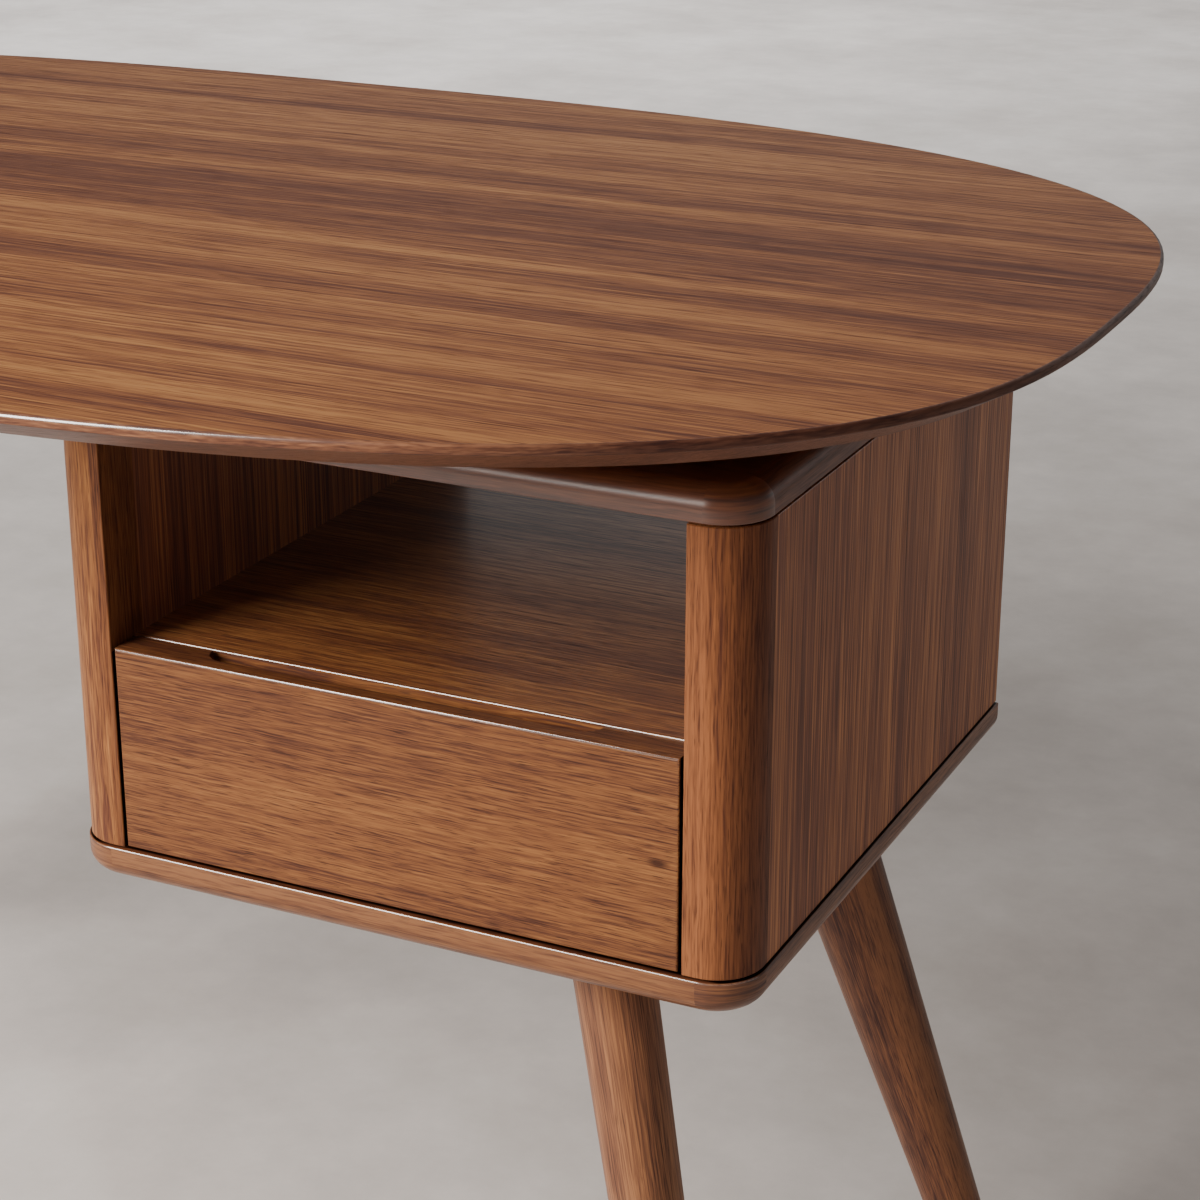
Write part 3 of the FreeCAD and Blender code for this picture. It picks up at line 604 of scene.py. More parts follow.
def seats_of(node, along, head_height):
    """For each fastener: the middle of its head's seat, the way its head points, and its length below."""
    axis = AXES[along]
    seats = []
    for group in solids_in(node):
        middle = sum(group, Vector()) / len(group)
        heights = [(spot - middle).dot(axis) for spot in group]
        reaches = [(spot - middle - axis * height).length for spot, height in zip(group, heights)]
        low, high = min(heights), max(heights)
        way = 1 if max(zip(reaches, heights))[1] > (low + high) / 2 else -1
        seat = middle + axis * (high - head_height if way > 0 else low + head_height)
        seats.append((seat, axis * way, high - low - head_height))
    return seats


def circle(radius, height, sides):
    """Points round Z at a height."""
    turns = [2 * math.pi * step / sides for step in range(sides)]
    return [Vector((radius * math.cos(turn), radius * math.sin(turn), height)) for turn in turns]


def turned(profile, sides):
    """A solid of revolution about Z, from (radius, height) pairs."""
    return skin([circle(radius, height, sides) for radius, height in profile])


def stood(seat, way):
    """The placement that stands a piece drawn along Z on a seat, pointing one way."""
    placement = way.to_track_quat("Z", "Y").to_matrix().to_4x4()
    placement.translation = seat
    return placement


def copies(mesh, placements):
    """One mesh that holds a copy for each placement. The first mesh is used up."""
    data = stored(mesh)
    result = bmesh.new()
    for placement in placements:
        before = len(result.verts)
        result.from_mesh(data)
        result.verts.ensure_lookup_table()
        bmesh.ops.transform(result, matrix=placement, verts=result.verts[before:])
    bpy.data.meshes.remove(data)
    return result


def head_pockets(node, along, head):
    """Round pockets that let the heads of a group of fasteners into the wood."""
    radius, height = head
    bore = turned([(radius + POCKET_CLEAR, 0), (radius + POCKET_CLEAR, POCKET_DEEP)], BORE_SIDES)
    return copies(bore, [stood(seat, way) for seat, way, length in seats_of(node, along, height)])


# The cap is dark walnut, made darker still as painted shade from the tabletop above it.
CAP_COLOURS_WITH_PAINTED_SHADE = ((0.185, 0.064, 0.027), (0.120, 0.039, 0.019), (0.060, 0.020, 0.012))
BASE_COLOURS = ((0.25, 0.100, 0.037), (0.155, 0.055, 0.021), (0.075, 0.025, 0.014))
GAP_SHADE_COLOURS = ((0.018, 0.009, 0.006), (0.009, 0.004, 0.003), (0.009, 0.004, 0.003))
GAP_SHADOW_SHADE = (0.06, 0.05, 0.05)
GAP_SHADOW_REACH = (1 * MM, 2.5 * MM)
walnut_cap = lipped("case_top", CORNER_ROUND, CAP_COLOURS_WITH_PAINTED_SHADE,
                    bands=0.6, lines=0.5, pores=0.15, coat=1.0, coat_blur=0.3)
walnut_base = lipped("case_bottom", CORNER_ROUND + BASE_PROUD, BASE_COLOURS,
                     lines=0.8, pores=0.4, gloss=0.35, coat=0.12)
# Black painted shade for the faces in the narrow gaps round the drawer, where no light reaches.
black_gap_shade, _ = wood("painted_shade_in_the_gaps", "Z", GAP_SHADE_COLOURS, board=4.4, pores=0, gloss=0.1)
# The base's upper face: dark walnut, painted black as the shadow in the gap from a little behind the drawer
# front.
base_upper_with_painted_shade, _ = wood("walnut_case_bottom_upper_painted_shade", "X", CAP_COLOURS_WITH_PAINTED_SHADE, board=4.9, gloss=0.1)
gap_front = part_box("drawer_front")[0].y
darken_along("Y", [base_upper_with_painted_shade], *(gap_front + reach for reach in GAP_SHADOW_REACH), GAP_SHADOW_SHADE)

cap_mesh = carve(case_board_mesh("case_top", CORNER_ROUND, True),
                 head_pockets("case_screws", "Z", SCREW_HEAD))
piece_from(cap_mesh, "case_top_board", walnut_cap, "desk", "case_top")
base_mesh = case_board_mesh("case_bottom", CORNER_ROUND + BASE_PROUD, False)
# Its upper face takes that painted shade.
for face in base_mesh.faces:
    if face.normal.z > 1 - NEAR:
        face.material_index = PAINTED_SHADE_FACE
piece_from(base_mesh, "case_bottom_board", [*walnut_base, base_upper_with_painted_shade],
           "desk", "case_bottom")


# Posts. Two solid walnut uprights at the front of the case, each with its outer corner rounded
# to match the boards above and below, and stepped in at both ends for a thin shadow line. Beside the
# drawer their inner faces carry black painted shade, like the bottom board.

SHADOW_HIGH = 1 * MM
SHADOW_DEEP = 2.5 * MM
POST_ARRIS = 0.8 * MM
SIDES = {"left": -1, "right": 1}


def post_mesh(node, side):
    low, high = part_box(node)
    inward = -SIDES[side]
    outer, inner = (low.x, high.x) if side == "left" else (high.x, low.x)

    def ring(inset, height):
        face, front = outer + inward * inset, low.y + inset
        return rounded_outline([
            (face, high.y), (face, front, CORNER_ROUND - inset, CORNER_STEPS),
            (inner, front, POST_ARRIS, ARRIS_STEPS), (inner, high.y)], height)

    drawer_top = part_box("drawer_front")[1].z
    mesh = skin([
        ring(SHADOW_DEEP, low.z), ring(SHADOW_DEEP, low.z + SHADOW_HIGH),
        ring(LOW_ARRIS, low.z + SHADOW_HIGH), ring(0, low.z + SHADOW_HIGH + LOW_ARRIS),
        ring(0, drawer_top - SHADOW_DEEP),
        ring(0, high.z - SHADOW_HIGH - LOW_ARRIS), ring(LOW_ARRIS, high.z - SHADOW_HIGH),
        ring(SHADOW_DEEP, high.z - SHADOW_HIGH), ring(SHADOW_DEEP, high.z)])
    for face in mesh.faces:
        # Beside the drawer the inner face takes the black painted shade.
        if face.normal.x * inward > 1 - NEAR and face.calc_center_median().z < drawer_top:
            face.material_index = PAINTED_SHADE_FACE
    return mesh


# The two posts are the same walnut: the left one is painted lighter where the key light falls, the right
# one darker as painted shade.
POST_COLOURS_LIT_AND_SHADED = {
    "left": ((0.39, 0.163, 0.053), (0.26, 0.100, 0.034), (0.110, 0.036, 0.020)),
    "right": ((0.31, 0.113, 0.043), (0.20, 0.070, 0.028), (0.110, 0.036, 0.020))}
POST_PAINTED_SHADE = (0.66, 0.60, 0.64)

# Where the painted shade starts and where it is full, in from a post's right-hand face:
# on the right post it darkens the round outer corner, on the left post a strip by the inner edge
POST_SHADE_INSETS = {"left": (6 * MM, 4 * MM), "right": (0.7 * CORNER_ROUND, 0.1 * CORNER_ROUND)}

for number, side in enumerate(SIDES):
    node = "post_" + side
    walnut_post = wood("walnut_" + node, "Z", POST_COLOURS_LIT_AND_SHADED[side], board=5.0 + number,
                       bands=0.7, lines=0.85, wander=0.006, gloss=0.15, finer=1.15)
    right_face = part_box(node)[1].x
    # Each post darkens towards its right-hand face as painted shade.
    darken_along("X", walnut_post, *(right_face - inset for inset in POST_SHADE_INSETS[side]), POST_PAINTED_SHADE)
    piece_from(post_mesh(node, side), "front_" + node, [*walnut_post, black_gap_shade],
               "desk", node)


# Side walls. Thick boards faced with straight grained walnut veneer that stands upright.
# They carry the shadow lines on from the posts, and are rebated inside for the back panel.

BACK_REBATE = 9 * MM
BACK_THICK = 8 * MM
WALL_ARRIS = 0.4 * MM
BEND = math.radians(30)
shelf_low, shelf_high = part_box("shelf")


def box_mesh(low, high):
    """A plain block between two corners."""
    mesh = bmesh.new()
    bmesh.ops.create_cube(mesh, size=1)
    middle, size = (low + high) / 2, high - low
    for vert in mesh.verts:
        vert.co = middle + vert.co * size
    return mesh


def in_plane(axis, value):
    """Picks the edges that lie in one plane square to an axis."""
    return lambda edge: all(abs(vert.co[axis] - value) < NEAR for vert in edge.verts)


def ease(mesh, width, steps, *tests):
    """Round off the sharp edges that every test picks."""
    edges = [edge for edge in mesh.edges
             if len(edge.link_faces) == 2 and edge.calc_face_angle() > BEND
             and all(test(edge) for test in tests)]
    rounded = bmesh.ops.bevel(mesh, geom=edges, offset=width, offset_type="OFFSET", segments=steps,
                              profile=0.5, affect="EDGES", clamp_overlap=True)
    for face in rounded["faces"]:
        face.material_index = RUBBED
    return mesh


def wall_mesh(node, side):
    low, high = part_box(node)
    over = (high - low).length
    outer_face, inner_face = (low.x, high.x) if side == "left" else (high.x, low.x)
    shadow_low = Vector((outer_face - SHADOW_DEEP, low.y - over, low.z - over))
    shadow_high = Vector((outer_face + SHADOW_DEEP, high.y + over, low.z + SHADOW_HIGH))
    rise = Vector((0, 0, high.z - SHADOW_HIGH - shadow_low.z))
    rebate_low = Vector((inner_face - BACK_REBATE, high.y - BACK_THICK, low.z - over))
    rebate_high = Vector((inner_face + BACK_REBATE, high.y + over, shelf_low.z))
    mesh = carve(box_mesh(low, high), box_mesh(shadow_low, shadow_high),
                 box_mesh(shadow_low + rise, shadow_high + rise), box_mesh(rebate_low, rebate_high))
    return ease(mesh, WALL_ARRIS, 2, lambda edge: not in_plane(1, low.y)(edge))


SIDE_COLOURS = ((0.50, 0.200, 0.072), (0.255, 0.087, 0.039), (0.115, 0.038, 0.025))
for number, side in enumerate(SIDES):
    node = "side_" + side
    walnut_side = wood("walnut_" + node, "Z", SIDE_COLOURS, board=7.2 + number,
                       bands=0.6, lines=1.1, pores=0.3, wander=0.003, shorten=0.35)
    piece_from(wall_mesh(node, side), "side_wall_" + side, walnut_side, "desk", node)


# Shelf and back panel. The shelf is the cubby's floor, veneered to match the drawer front,
# with its front edge eased. The thin back panel is screwed into the rebates of the side walls.

SHELF_ARRIS = 0.9 * MM


def shelf_mesh():
    mesh = box_mesh(shelf_low, shelf_high)
    ease(mesh, SHELF_ARRIS, ARRIS_STEPS, in_plane(1, shelf_low.y), in_plane(2, shelf_high.z))
    return ease(mesh, WALL_ARRIS, 2, in_plane(1, shelf_low.y), in_plane(2, shelf_low.z))


walnut_shelf = wood("walnut_shelf", "X", TOP_COLOURS, board=11.6, bands=0.8, gloss=0.5, coat=0.14)
piece_from(shelf_mesh(), "cubby_shelf", walnut_shelf, "desk", "shelf")

walnut_back = wood("walnut_back", "X", SIDE_COLOURS, board=13.3, gloss=0.1)
back_mesh = carve(ease(box_mesh(*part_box("back_panel")), WALL_ARRIS, 2),
                  head_pockets("back_screws", "Y", SMALL_SCREW_HEAD))
piece_from(back_mesh, "thin_back", walnut_back, "desk", "back_panel")


# Drawer front. A walnut board with eased front edges, its narrow edges painted black as shade in the gaps
# round it. A round-ended finger pull is routed down behind its top edge, open to the back, so that no
# handle is needed.

PULL_LENGTH = 230 * MM
PULL_LIP = 9 * MM
PULL_DEPTH = 22 * MM
PULL_ROUND = 11 * MM
PULL_STEPS = 12
FRONT_ARRIS = 1.3 * MM
BACK_EASE = 2 * MM
front_low, front_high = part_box("drawer_front")


def pull_tool():
    """The space that the router clears for the fingers."""
    middle = (front_low.x + front_high.x) / 2
    left, right = middle - PULL_LENGTH / 2, middle + PULL_LENGTH / 2
    lip, behind = front_low.y + PULL_LIP, front_high.y + PULL_DEPTH
    corners = [(left, behind), (left, lip, PULL_ROUND, PULL_STEPS),
               (right, lip, PULL_ROUND, PULL_STEPS), (right, behind)]
    return skin([rounded_outline(corners, front_high.z - PULL_DEPTH),
                 rounded_outline(corners, front_high.z + PULL_DEPTH)])


def drawer_front_mesh():
    mesh = box_mesh(front_low, front_high)
    ease(mesh, FRONT_ARRIS, ARRIS_STEPS, in_plane(1, front_low.y))
    ease(mesh, BACK_EASE, ARRIS_STEPS, in_plane(1, front_high.y), in_plane(2, front_high.z))
    for face in mesh.faces:
        # Side and bottom faces take the black painted shade of the gaps round the drawer.
        if abs(face.normal.x) > 1 - NEAR or face.normal.z < NEAR - 1:
            face.material_index = PAINTED_SHADE_FACE
        elif face.material_index == RUBBED and face.normal.z < NEAR:
            face.material_index = BROAD
    return carve(mesh, pull_tool())


FRONT_COLOURS = ((0.290, 0.120, 0.040), (0.185, 0.069, 0.025), (0.082, 0.027, 0.014))
KNOT_PLACE = (0.508, -0.226, 0.510)
KNOT_HALF = (7.5 * MM, 6 * MM, 3.4 * MM)
KNOT_SHADE = (0.26, 0.20, 0.23)
KNOT_CORE_SHARE = 0.7


def add_knot(material):
    """A small soft knot, where the walnut is darker."""
    tree = material.node_tree
    place = new_node(tree, "Mapping", Vector=object_place(tree))
    place.vector_type = "TEXTURE"
    set_inputs(place, Location=KNOT_PLACE, Scale=KNOT_HALF)
    ball = new_node(tree, "TexGradient", Vector=place.outputs["Vector"])
    ball.gradient_type = "SPHERICAL"
    darken(material, remap(ball.outputs["Fac"], 0, KNOT_CORE_SHARE), KNOT_SHADE)


walnut_front = wood("walnut_drawer_front", "X", FRONT_COLOURS, board=17.9,
                    bands=0.9, lines=0.55, pores=0.8, gloss=0.20, finer=1.3)
add_knot(walnut_front[0])
piece_from(drawer_front_mesh(), "drawer_face", [*walnut_front, black_gap_shade],
           "drawer", "drawer_front")


# Legs. Each is turned from one walnut blank to a straight taper, cut level at both ends
# and drawn up under its rail by one bolt. They splay to the side and to the front or back.

SPLAY_OUT = math.radians(14.8)
SPLAY_APART = math.radians(11.9)
LEG_TOP_RADIUS = {"front": 22.5 * MM, "rear": 30 * MM}
LEG_FOOT_RADIUS = 15.5 * MM
LEG_SIDES = 96
FOOT_EASE = 1.2 * MM
FACES = {"front": -1, "rear": 1}
floor_pads = {(side, face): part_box("glide_%s_%s" % (face, side)) for side in SIDES for face in FACES}


def leg_line(side, face):
    """A point on the floor on the leg's own line, and the direction up along it."""
    low, high = floor_pads[side, face]
    foot = Vector((*((low + high) / 2).xy, 0))
    rise = Vector((-SIDES[side] * math.tan(SPLAY_OUT), -FACES[face] * math.tan(SPLAY_APART), 1))
    return foot, rise


def leg_mesh(side, face):
    low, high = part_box("leg_%s_%s" % (face, side))
    foot, rise = leg_line(side, face)
    stand = rise.normalized().to_track_quat("Z", "X").to_matrix()

    def ring(height, inset=0.0):
        """The level section at a height, each point found along its own straight line on the taper."""
        points = []
        for round_point in circle(1, 0, LEG_SIDES):
            way = stand @ round_point
            start = foot + way * (LEG_FOOT_RADIUS - inset)
            end = foot + rise * high.z + way * (LEG_TOP_RADIUS[face] - inset)
            share = (height - start.z) / (end.z - start.z)
            points.append(start.lerp(end, share))
        return points

    heights = [low.z + FOOT_EASE] + [low.z + (high.z - low.z) * part / 4 for part in range(1, 4)]
    return skin([ring(low.z, FOOT_EASE), *(ring(height) for height in heights), ring(high.z)])


# Front and rear legs are the same walnut: the rear pair is painted darker as shade under the case, the
# front pair lighter where the key light falls.
LEG_COLOURS_LIT_AND_SHADED = {
    "front": ((0.34, 0.148, 0.065), (0.200, 0.082, 0.041), (0.075, 0.029, 0.020)),
    "rear": ((0.25, 0.100, 0.043), (0.130, 0.049, 0.026), (0.050, 0.018, 0.014))}
for number, (side, face) in enumerate(floor_pads):
    node = "leg_%s_%s" % (face, side)
    straight = leg_line(side, face)[1].normalized().rotation_difference(Vector((1, 0, 0))).to_euler()
    walnut_leg = wood("walnut_" + node, tuple(straight), LEG_COLOURS_LIT_AND_SHADED[face], board=21.7 + number,
                      bands=1.6, lines=0.7, pores=0.4, wander=0.008, gloss=0.26, shorten=0.7, finer=1.5)
    piece_from(leg_mesh(side, face), "turned_" + node, walnut_leg, "desk", node)


# Battens and cross rails. Planed and dark stained, so that they vanish in the shadow under the top.
# Screws run up through them from round pockets, and each leg's bolt from a bed bored on its slant.

RAIL_ARRIS = 1 * MM
RAIL_CHAMFER = 8 * MM


def batten_mesh(node):
    """A batten with its lower ends cut off at a slant."""
    low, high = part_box(node)
    outline = [(low.x + RAIL_CHAMFER, low.z), (high.x - RAIL_CHAMFER, low.z),
               (high.x, low.z + RAIL_CHAMFER), (high.x, high.z),
               (low.x, high.z), (low.x, low.z + RAIL_CHAMFER)]
    mesh = skin([[Vector((x, y, z)) for x, z in outline] for y in (low.y, high.y)])
    return ease(mesh, RAIL_ARRIS, 2)


BATTEN_COLOURS = ((0.11, 0.055, 0.030), (0.07, 0.034, 0.020), (0.04, 0.020, 0.013))
for number, node in enumerate(("rail_front", "rail_rear")):
    stained = wood("stained_" + node, "X", BATTEN_COLOURS, board=31.1 + number)
    mesh = carve(batten_mesh(node), head_pockets("top_screws", "Z", SCREW_HEAD))
    piece_from(mesh, "batten_" + node, stained, "desk", node)

CROSS_RAILS = {"left": ("bearer_left", "bearer_screws"), "right": ("leg_rail_right", "leg_rail_screws")}
BOLT_BED = 12 * MM
BED_RADIUS = 12 * MM


def along_leg(side, face, height):
    """The placement at a height on a leg's line, with Z up along the leg."""
    foot, rise = leg_line(side, face)
    return stood(foot + rise * height, rise.normalized())


for number, (side, (node, group)) in enumerate(CROSS_RAILS.items()):
    stained = wood("stained_" + node, "Y", BATTEN_COLOURS, board=34.6 + number)
    low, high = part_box(node)
    mesh = ease(box_mesh(low, high), RAIL_ARRIS, 2)
    bed = turned([(BED_RADIUS, 0), (BED_RADIUS, 2 * BOLT_BED)], BORE_SIDES)
    beds = copies(bed, [along_leg(side, face, high.z - BOLT_BED) for face in FACES])
    mesh = carve(mesh, head_pockets(group, "Z", SCREW_HEAD), beds)
    piece_from(mesh, "cross_" + node, stained, "desk", node)


# Drawer box. Birch boards with rounded top edges, the front and back held between the sides.
# A thin bottom is let into grooves all round, and the walnut front is screwed on from inside.

BOX_ROUND = 2.5 * MM
BOX_ARRIS = 0.6 * MM
GROOVE_CLEAR = 0.2 * MM
BOX_BOARDS = ("drawer_side_left", "drawer_side_right", "drawer_subfront", "drawer_back")
BIRCH_COLOURS = ((0.66, 0.50, 0.34), (0.56, 0.41, 0.27), (0.44, 0.30, 0.19))

bottom_low, bottom_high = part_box("drawer_bottom")
groove = Vector((GROOVE_CLEAR,) * 3)
for number, node in enumerate(BOX_BOARDS):
    low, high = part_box(node)
    along, across = ("Y", 0) if "side" in node else ("X", 1)
    birch = wood("birch_" + node, along, BIRCH_COLOURS, board=41.3 + number,
                 lines=0.8, pores=0.15, gloss=0.2)
    mesh = ease(box_mesh(low, high), BOX_ROUND, 4, in_plane(2, high.z), in_plane(across, low[across]))
    mesh = ease(mesh, BOX_ROUND, 4, in_plane(2, high.z), in_plane(across, high[across]))
    mesh = carve(mesh, box_mesh(bottom_low - groove, bottom_high + groove))
    piece_from(mesh, "box_" + node, birch, "drawer", node)

birch = wood("birch_drawer_bottom", "X", BIRCH_COLOURS, board=47.7, bands=1.3, pores=0.1)
piece_from(ease(box_mesh(bottom_low, bottom_high), BOX_ARRIS, 2), "box_bottom",
           birch, "drawer", "drawer_bottom")


# Telescopic runners. Three zinc plated channels a side, folded from sheet and nested in each other.
# The outer one is screwed to the case, the inner one to the drawer, and the middle one slides between.

SHEET = 1.2 * MM
FOLD_OUTSIDE = 2.0 * MM
FOLD_STEPS = 5
SLOT_LONG = 14 * MM
SLOT_HIGH = 5 * MM
SLOT_SHARES = (0.3, 0.5, 0.7)
ROLLING_MARKS = (900, 12, 900)
ZINC_CLOUDS = 45


def paired(colour, factor):
    """A colour and a paler or darker one."""
    return colour, tuple(factor * part for part in colour)


def steel(name, colour, roughness, streak):
    """Zinc plated steel with faint rolling marks along Y."""
    material, tree = new_material(name)
    place = object_place(tree)
    marks = noise(place, ROLLING_MARKS, 2)
    clouds = remap(noise(place, ZINC_CLOUDS, 3), 0.4, 0.6)
    set_inputs(shader_of(material), Metallic=1.0, Base_Color=blend_colours(clouds, *paired(colour, 0.8)),
               Roughness=remap(marks, 0.3, 0.7, roughness - streak, roughness + streak))
    return [material]


zinc_sheet = steel("zinc_sheet", (0.62, 0.63, 0.65), 0.34, 0.08)


def channel_mesh(node, opens_right):
    """A channel with rounded folds, lying along Y, its flanges pointing towards one side."""
    low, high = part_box(node)
    web, tips = (low.x, high.x) if opens_right else (high.x, low.x)
    inward = 1 if opens_right else -1
    inner = web + inward * SHEET
    fold_inside = FOLD_OUTSIDE - SHEET
    corners = [
        (web, low.z, FOLD_OUTSIDE, FOLD_STEPS), (tips, low.z), (tips, low.z + SHEET),
        (inner, low.z + SHEET, fold_inside, FOLD_STEPS), (inner, high.z - SHEET, fold_inside, FOLD_STEPS),
        (tips, high.z - SHEET), (tips, high.z), (web, high.z, FOLD_OUTSIDE, FOLD_STEPS)]
    outline = rounded_outline(corners, 0)
    mesh = skin([[Vector((point.x, y, point.y)) for point in outline] for y in (low.y, high.y)])
    slots = []
    z = (low.z + high.z) / 2
    for share in SLOT_SHARES:
        y = low.y + share * (high.y - low.y)
        ends = [Vector((x + way * SHEET, y + way * SLOT_LONG / 2, z + way * SLOT_HIGH / 2))
                for x, way in zip(sorted((web, inner)), (-1, 1))]
        slots.append(ease(box_mesh(*ends), SLOT_HIGH / 2 - NEAR, 4,
                          lambda edge: abs(edge.verts[0].co.x - edge.verts[1].co.x) > SHEET))
    return carve(mesh, *slots)


for side in SIDES:
    for member, body in (("case", "desk"), ("middle", "runner_middle_" + side), ("drawer", "drawer")):
        name = "%s_%s" % (member, side)
        opens_inwards = member != "drawer"
        mesh = channel_mesh("runner_" + name, opens_inwards == (side == "left"))
        piece_from(mesh, "channel_" + name, zinc_sheet, body, "runner_" + name)


# Fasteners. Plated screws with domed heads and a cross recess, and hexagon bolts on plain washers.
# Each stands where the frame has its plain solid.

SCREW_SIDES = 24
THREAD_PITCH = 1.4 * MM
THREAD_DEEP = 0.25 * MM
POINT_SHARE = 0.25
RECESS_LONG_SHARE = 1.15
RECESS_WIDE_SHARE = 0.24
RECESS_DEEP_SHARE = 0.55
DOME_SHARES = ((1.0, 0.0), (1.0, 0.35), (0.92, 0.62), (0.74, 0.84), (0.45, 0.97), (0.2, 1.0))


def thread(radius, height, end):
    """A ringed shank from one height up towards another, as (radius, height) pairs."""
    profile = []
    while height < end:
        profile += [(radius - THREAD_DEEP, height), (radius, height + THREAD_PITCH / 2)]
        height += THREAD_PITCH
    return profile


def screw_mesh(radius, head, length):
    """A screw along Z with its head's seat at zero: ringed shank, domed head and cross recess."""
    head_radius, head_height = head
    core = radius - THREAD_DEEP
    shank = [(radius * POINT_SHARE, -length), *thread(radius, 2 * radius - length, -2 * THREAD_PITCH),
             (core, -THREAD_PITCH), (core, 0)]
    dome = [(head_radius * wide, head_height * high) for wide, high in DOME_SHARES]
    long, wide = head_radius * RECESS_LONG_SHARE / 2, head_radius * RECESS_WIDE_SHARE / 2
    deep = head_height * (1 - RECESS_DEEP_SHARE)
    bars = [box_mesh(Vector((-x, -y, deep)), Vector((x, y, 2 * head_height)))
            for x, y in ((long, wide), (wide, long))]
    return carve(turned(shank + dome, SCREW_SIDES), *bars)


SCREW_RADIUS = 2 * MM
SMALL_SCREW_RADIUS = 1.5 * MM
zinc_screw = steel("zinc_screws", (0.72, 0.68, 0.58), 0.3, 0.05)
SCREW_GROUPS = {"Z": ("top_screws", "case_screws", "bearer_screws", "leg_rail_screws"),
                "X": ("runner_case_screws", "runner_drawer_screws"),
                "Y": ("drawer_front_screws", "back_screws")}
DRAWER_SCREWS = ("runner_drawer_screws", "drawer_front_screws")
for along, groups in SCREW_GROUPS.items():
    small = along != "Z"
    radius, head = (SMALL_SCREW_RADIUS, SMALL_SCREW_HEAD) if small else (SCREW_RADIUS, SCREW_HEAD)
    for group in groups:
        seats = seats_of(group, along, head[1])
        screw = screw_mesh(radius, head, seats[0][2])
        mesh = copies(screw, [stood(seat, way) for seat, way, length in seats])
        body = "drawer" if group in DRAWER_SCREWS else "desk"
        piece_from(mesh, "cross_" + group, zinc_screw, body, group)


BOLT_RADIUS = 4 * MM
BOLT_GRIP = 45 * MM
BOLT_HEAD_RADIUS = 7.5 * MM
BOLT_HEAD_HIGH = 5.5 * MM
BOLT_HEAD_ROUND = 1 * MM
WASHER_RADIUS = 10.5 * MM
WASHER_THICK = 1.6 * MM
ROUND_SIDES = 48
HEAD_SIDES = 6


def together(*parts):
    """One mesh of several separate ones. All of them are used up."""
    result = bmesh.new()
    for part in parts:
        data = stored(part)
        result.from_mesh(data)
        bpy.data.meshes.remove(data)
    return result


def bolt_mesh(length):
    """A bolt along Z with its head's seat at zero: ringed shank and eased hexagon head."""
    rings = thread(BOLT_RADIUS, BOLT_HEAD_ROUND - length, -BOLT_GRIP / 2)
    runout = rings[-1][1] + THREAD_PITCH / 2
    shank = turned([(BOLT_RADIUS - BOLT_HEAD_ROUND, -length), *rings, (BOLT_RADIUS - THREAD_DEEP, runout),
                    (BOLT_RADIUS, runout + THREAD_PITCH), (BOLT_RADIUS, 0)], SCREW_SIDES)
    head = turned([(BOLT_HEAD_RADIUS, 0), (BOLT_HEAD_RADIUS, BOLT_HEAD_HIGH - BOLT_HEAD_ROUND),
                   (BOLT_HEAD_RADIUS - BOLT_HEAD_ROUND, BOLT_HEAD_HIGH)], HEAD_SIDES)
    return together(shank, head)


def washer_mesh():
    """A plain washer along Z, with its lower face at zero."""
    hole = BOLT_RADIUS + GROOVE_CLEAR
    edges = [(hole, 0), (WASHER_RADIUS, 0), (WASHER_RADIUS, WASHER_THICK), (hole, WASHER_THICK)]
    return skin([circle(radius, height, ROUND_SIDES) for radius, height in edges], hollow=True)


bolts, washers = [], []
for side, (rail, group) in CROSS_RAILS.items():
    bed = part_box(rail)[1].z - BOLT_BED
    for face in FACES:
        leg_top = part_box("leg_%s_%s" % (face, side))[1].z
        slant = leg_line(side, face)[1].length
        length = (bed - leg_top) * slant + WASHER_THICK + BOLT_GRIP
        seat = along_leg(side, face, bed)
        washers.append(copies(washer_mesh(), [seat]))
        bolts.append(copies(bolt_mesh(length), [seat @ Matrix.Translation((0, 0, WASHER_THICK))]))
piece_from(together(*bolts), "hexagon_leg_bolts", zinc_screw, "desk", "leg_bolts")
piece_from(together(*washers), "plain_leg_washers", zinc_screw, "desk", "leg_washers")


# Dowels. Turned from beech with fluted sides, so that the glue can escape, and chamfered ends.
# They tie the shelf and the walls of the case together, and are out of sight.

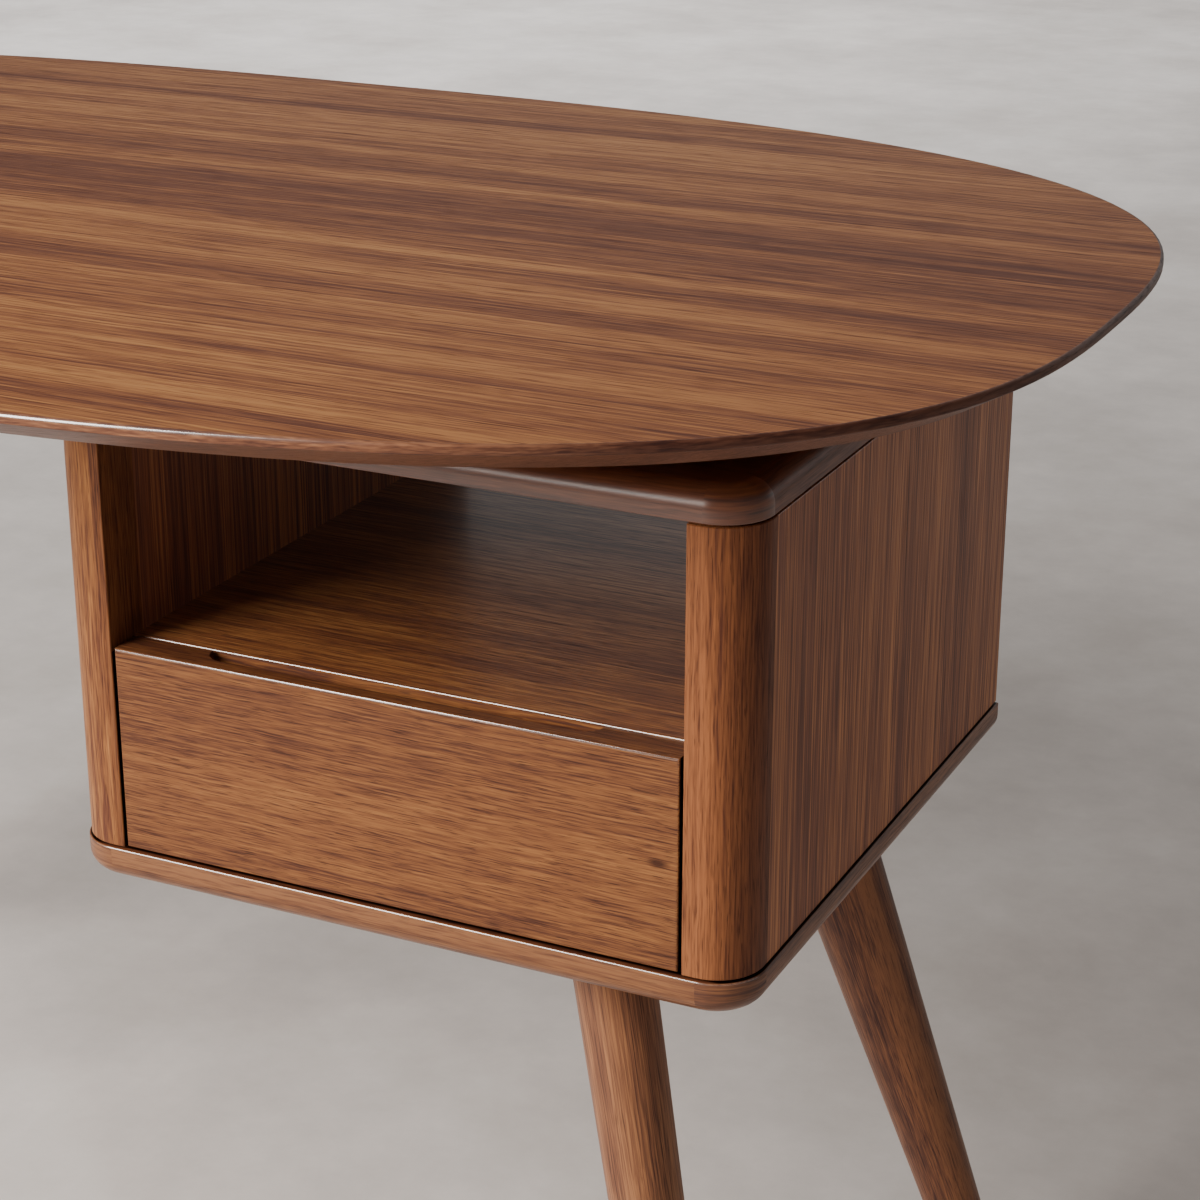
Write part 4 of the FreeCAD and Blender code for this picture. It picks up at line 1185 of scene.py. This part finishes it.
DOWEL_RADIUS = 4 * MM
DOWEL_CHAMFER = 1.2 * MM
FLUTE_DEEP = 0.3 * MM
FLUTES = 20
BEECH_COLOURS = ((0.62, 0.43, 0.27), (0.52, 0.34, 0.20), (0.40, 0.24, 0.14))


def dowel_mesh(length):
    """A fluted dowel along Z, with its middle at zero."""
    rings = []
    for inset, height in ((DOWEL_CHAMFER, -length / 2), (0, DOWEL_CHAMFER - length / 2),
                          (0, length / 2 - DOWEL_CHAMFER), (DOWEL_CHAMFER, length / 2)):
        crests = circle(DOWEL_RADIUS - inset, height, 2 * FLUTES)
        flutes = circle(DOWEL_RADIUS - inset - FLUTE_DEEP, height, 2 * FLUTES)
        rings.append([flutes[step] if step % 2 else crests[step] for step in range(2 * FLUTES)])
    return skin(rings)


for number, (group, along) in enumerate((("shelf_dowels", "X"), ("case_dowels", "Z"))):
    beech = wood("beech_" + group, along, BEECH_COLOURS, board=51.2 + number, pores=0.2)
    solids = solids_in(group)
    heights = [spot.dot(AXES[along]) for spot in solids[0]]
    stands = [stood(sum(solid, Vector()) / len(solid), AXES[along]) for solid in solids]
    mesh = copies(dowel_mesh(max(heights) - min(heights)), stands)
    piece_from(mesh, "fluted_" + group, beech, "desk", group)


# Glides. Moulded discs of dark nylon, one pinned under each foot. Their rims are eased all round,
# so that the desk can be slid over a floor.

GLIDE_EASE = 0.9 * MM
GLIDE_STEPS = 4
MOTTLE = 700
NYLON = (0.022, 0.019, 0.017)

dark_nylon, tree = new_material("dark_nylon")
mottle = noise(object_place(tree), MOTTLE, 3)
set_inputs(shader_of(dark_nylon), Roughness=remap(mottle, 0.3, 0.7, 0.45, 0.6),
           Base_Color=blend_colours(remap(mottle, 0.35, 0.65), *paired(NYLON, 1.6)))

for (side, face), (low, high) in floor_pads.items():
    node = "glide_%s_%s" % (face, side)
    radius = (high.x - low.x) / 2
    profile = [(radius - inset, rise) for rise, inset in quarter_round(GLIDE_EASE, GLIDE_STEPS)]
    mesh = turned([*profile, (radius, high.z)], ROUND_SIDES)
    bmesh.ops.translate(mesh, vec=leg_line(side, face)[0], verts=mesh.verts)
    piece_from(mesh, "pad_" + node, [dark_nylon], "desk", node)
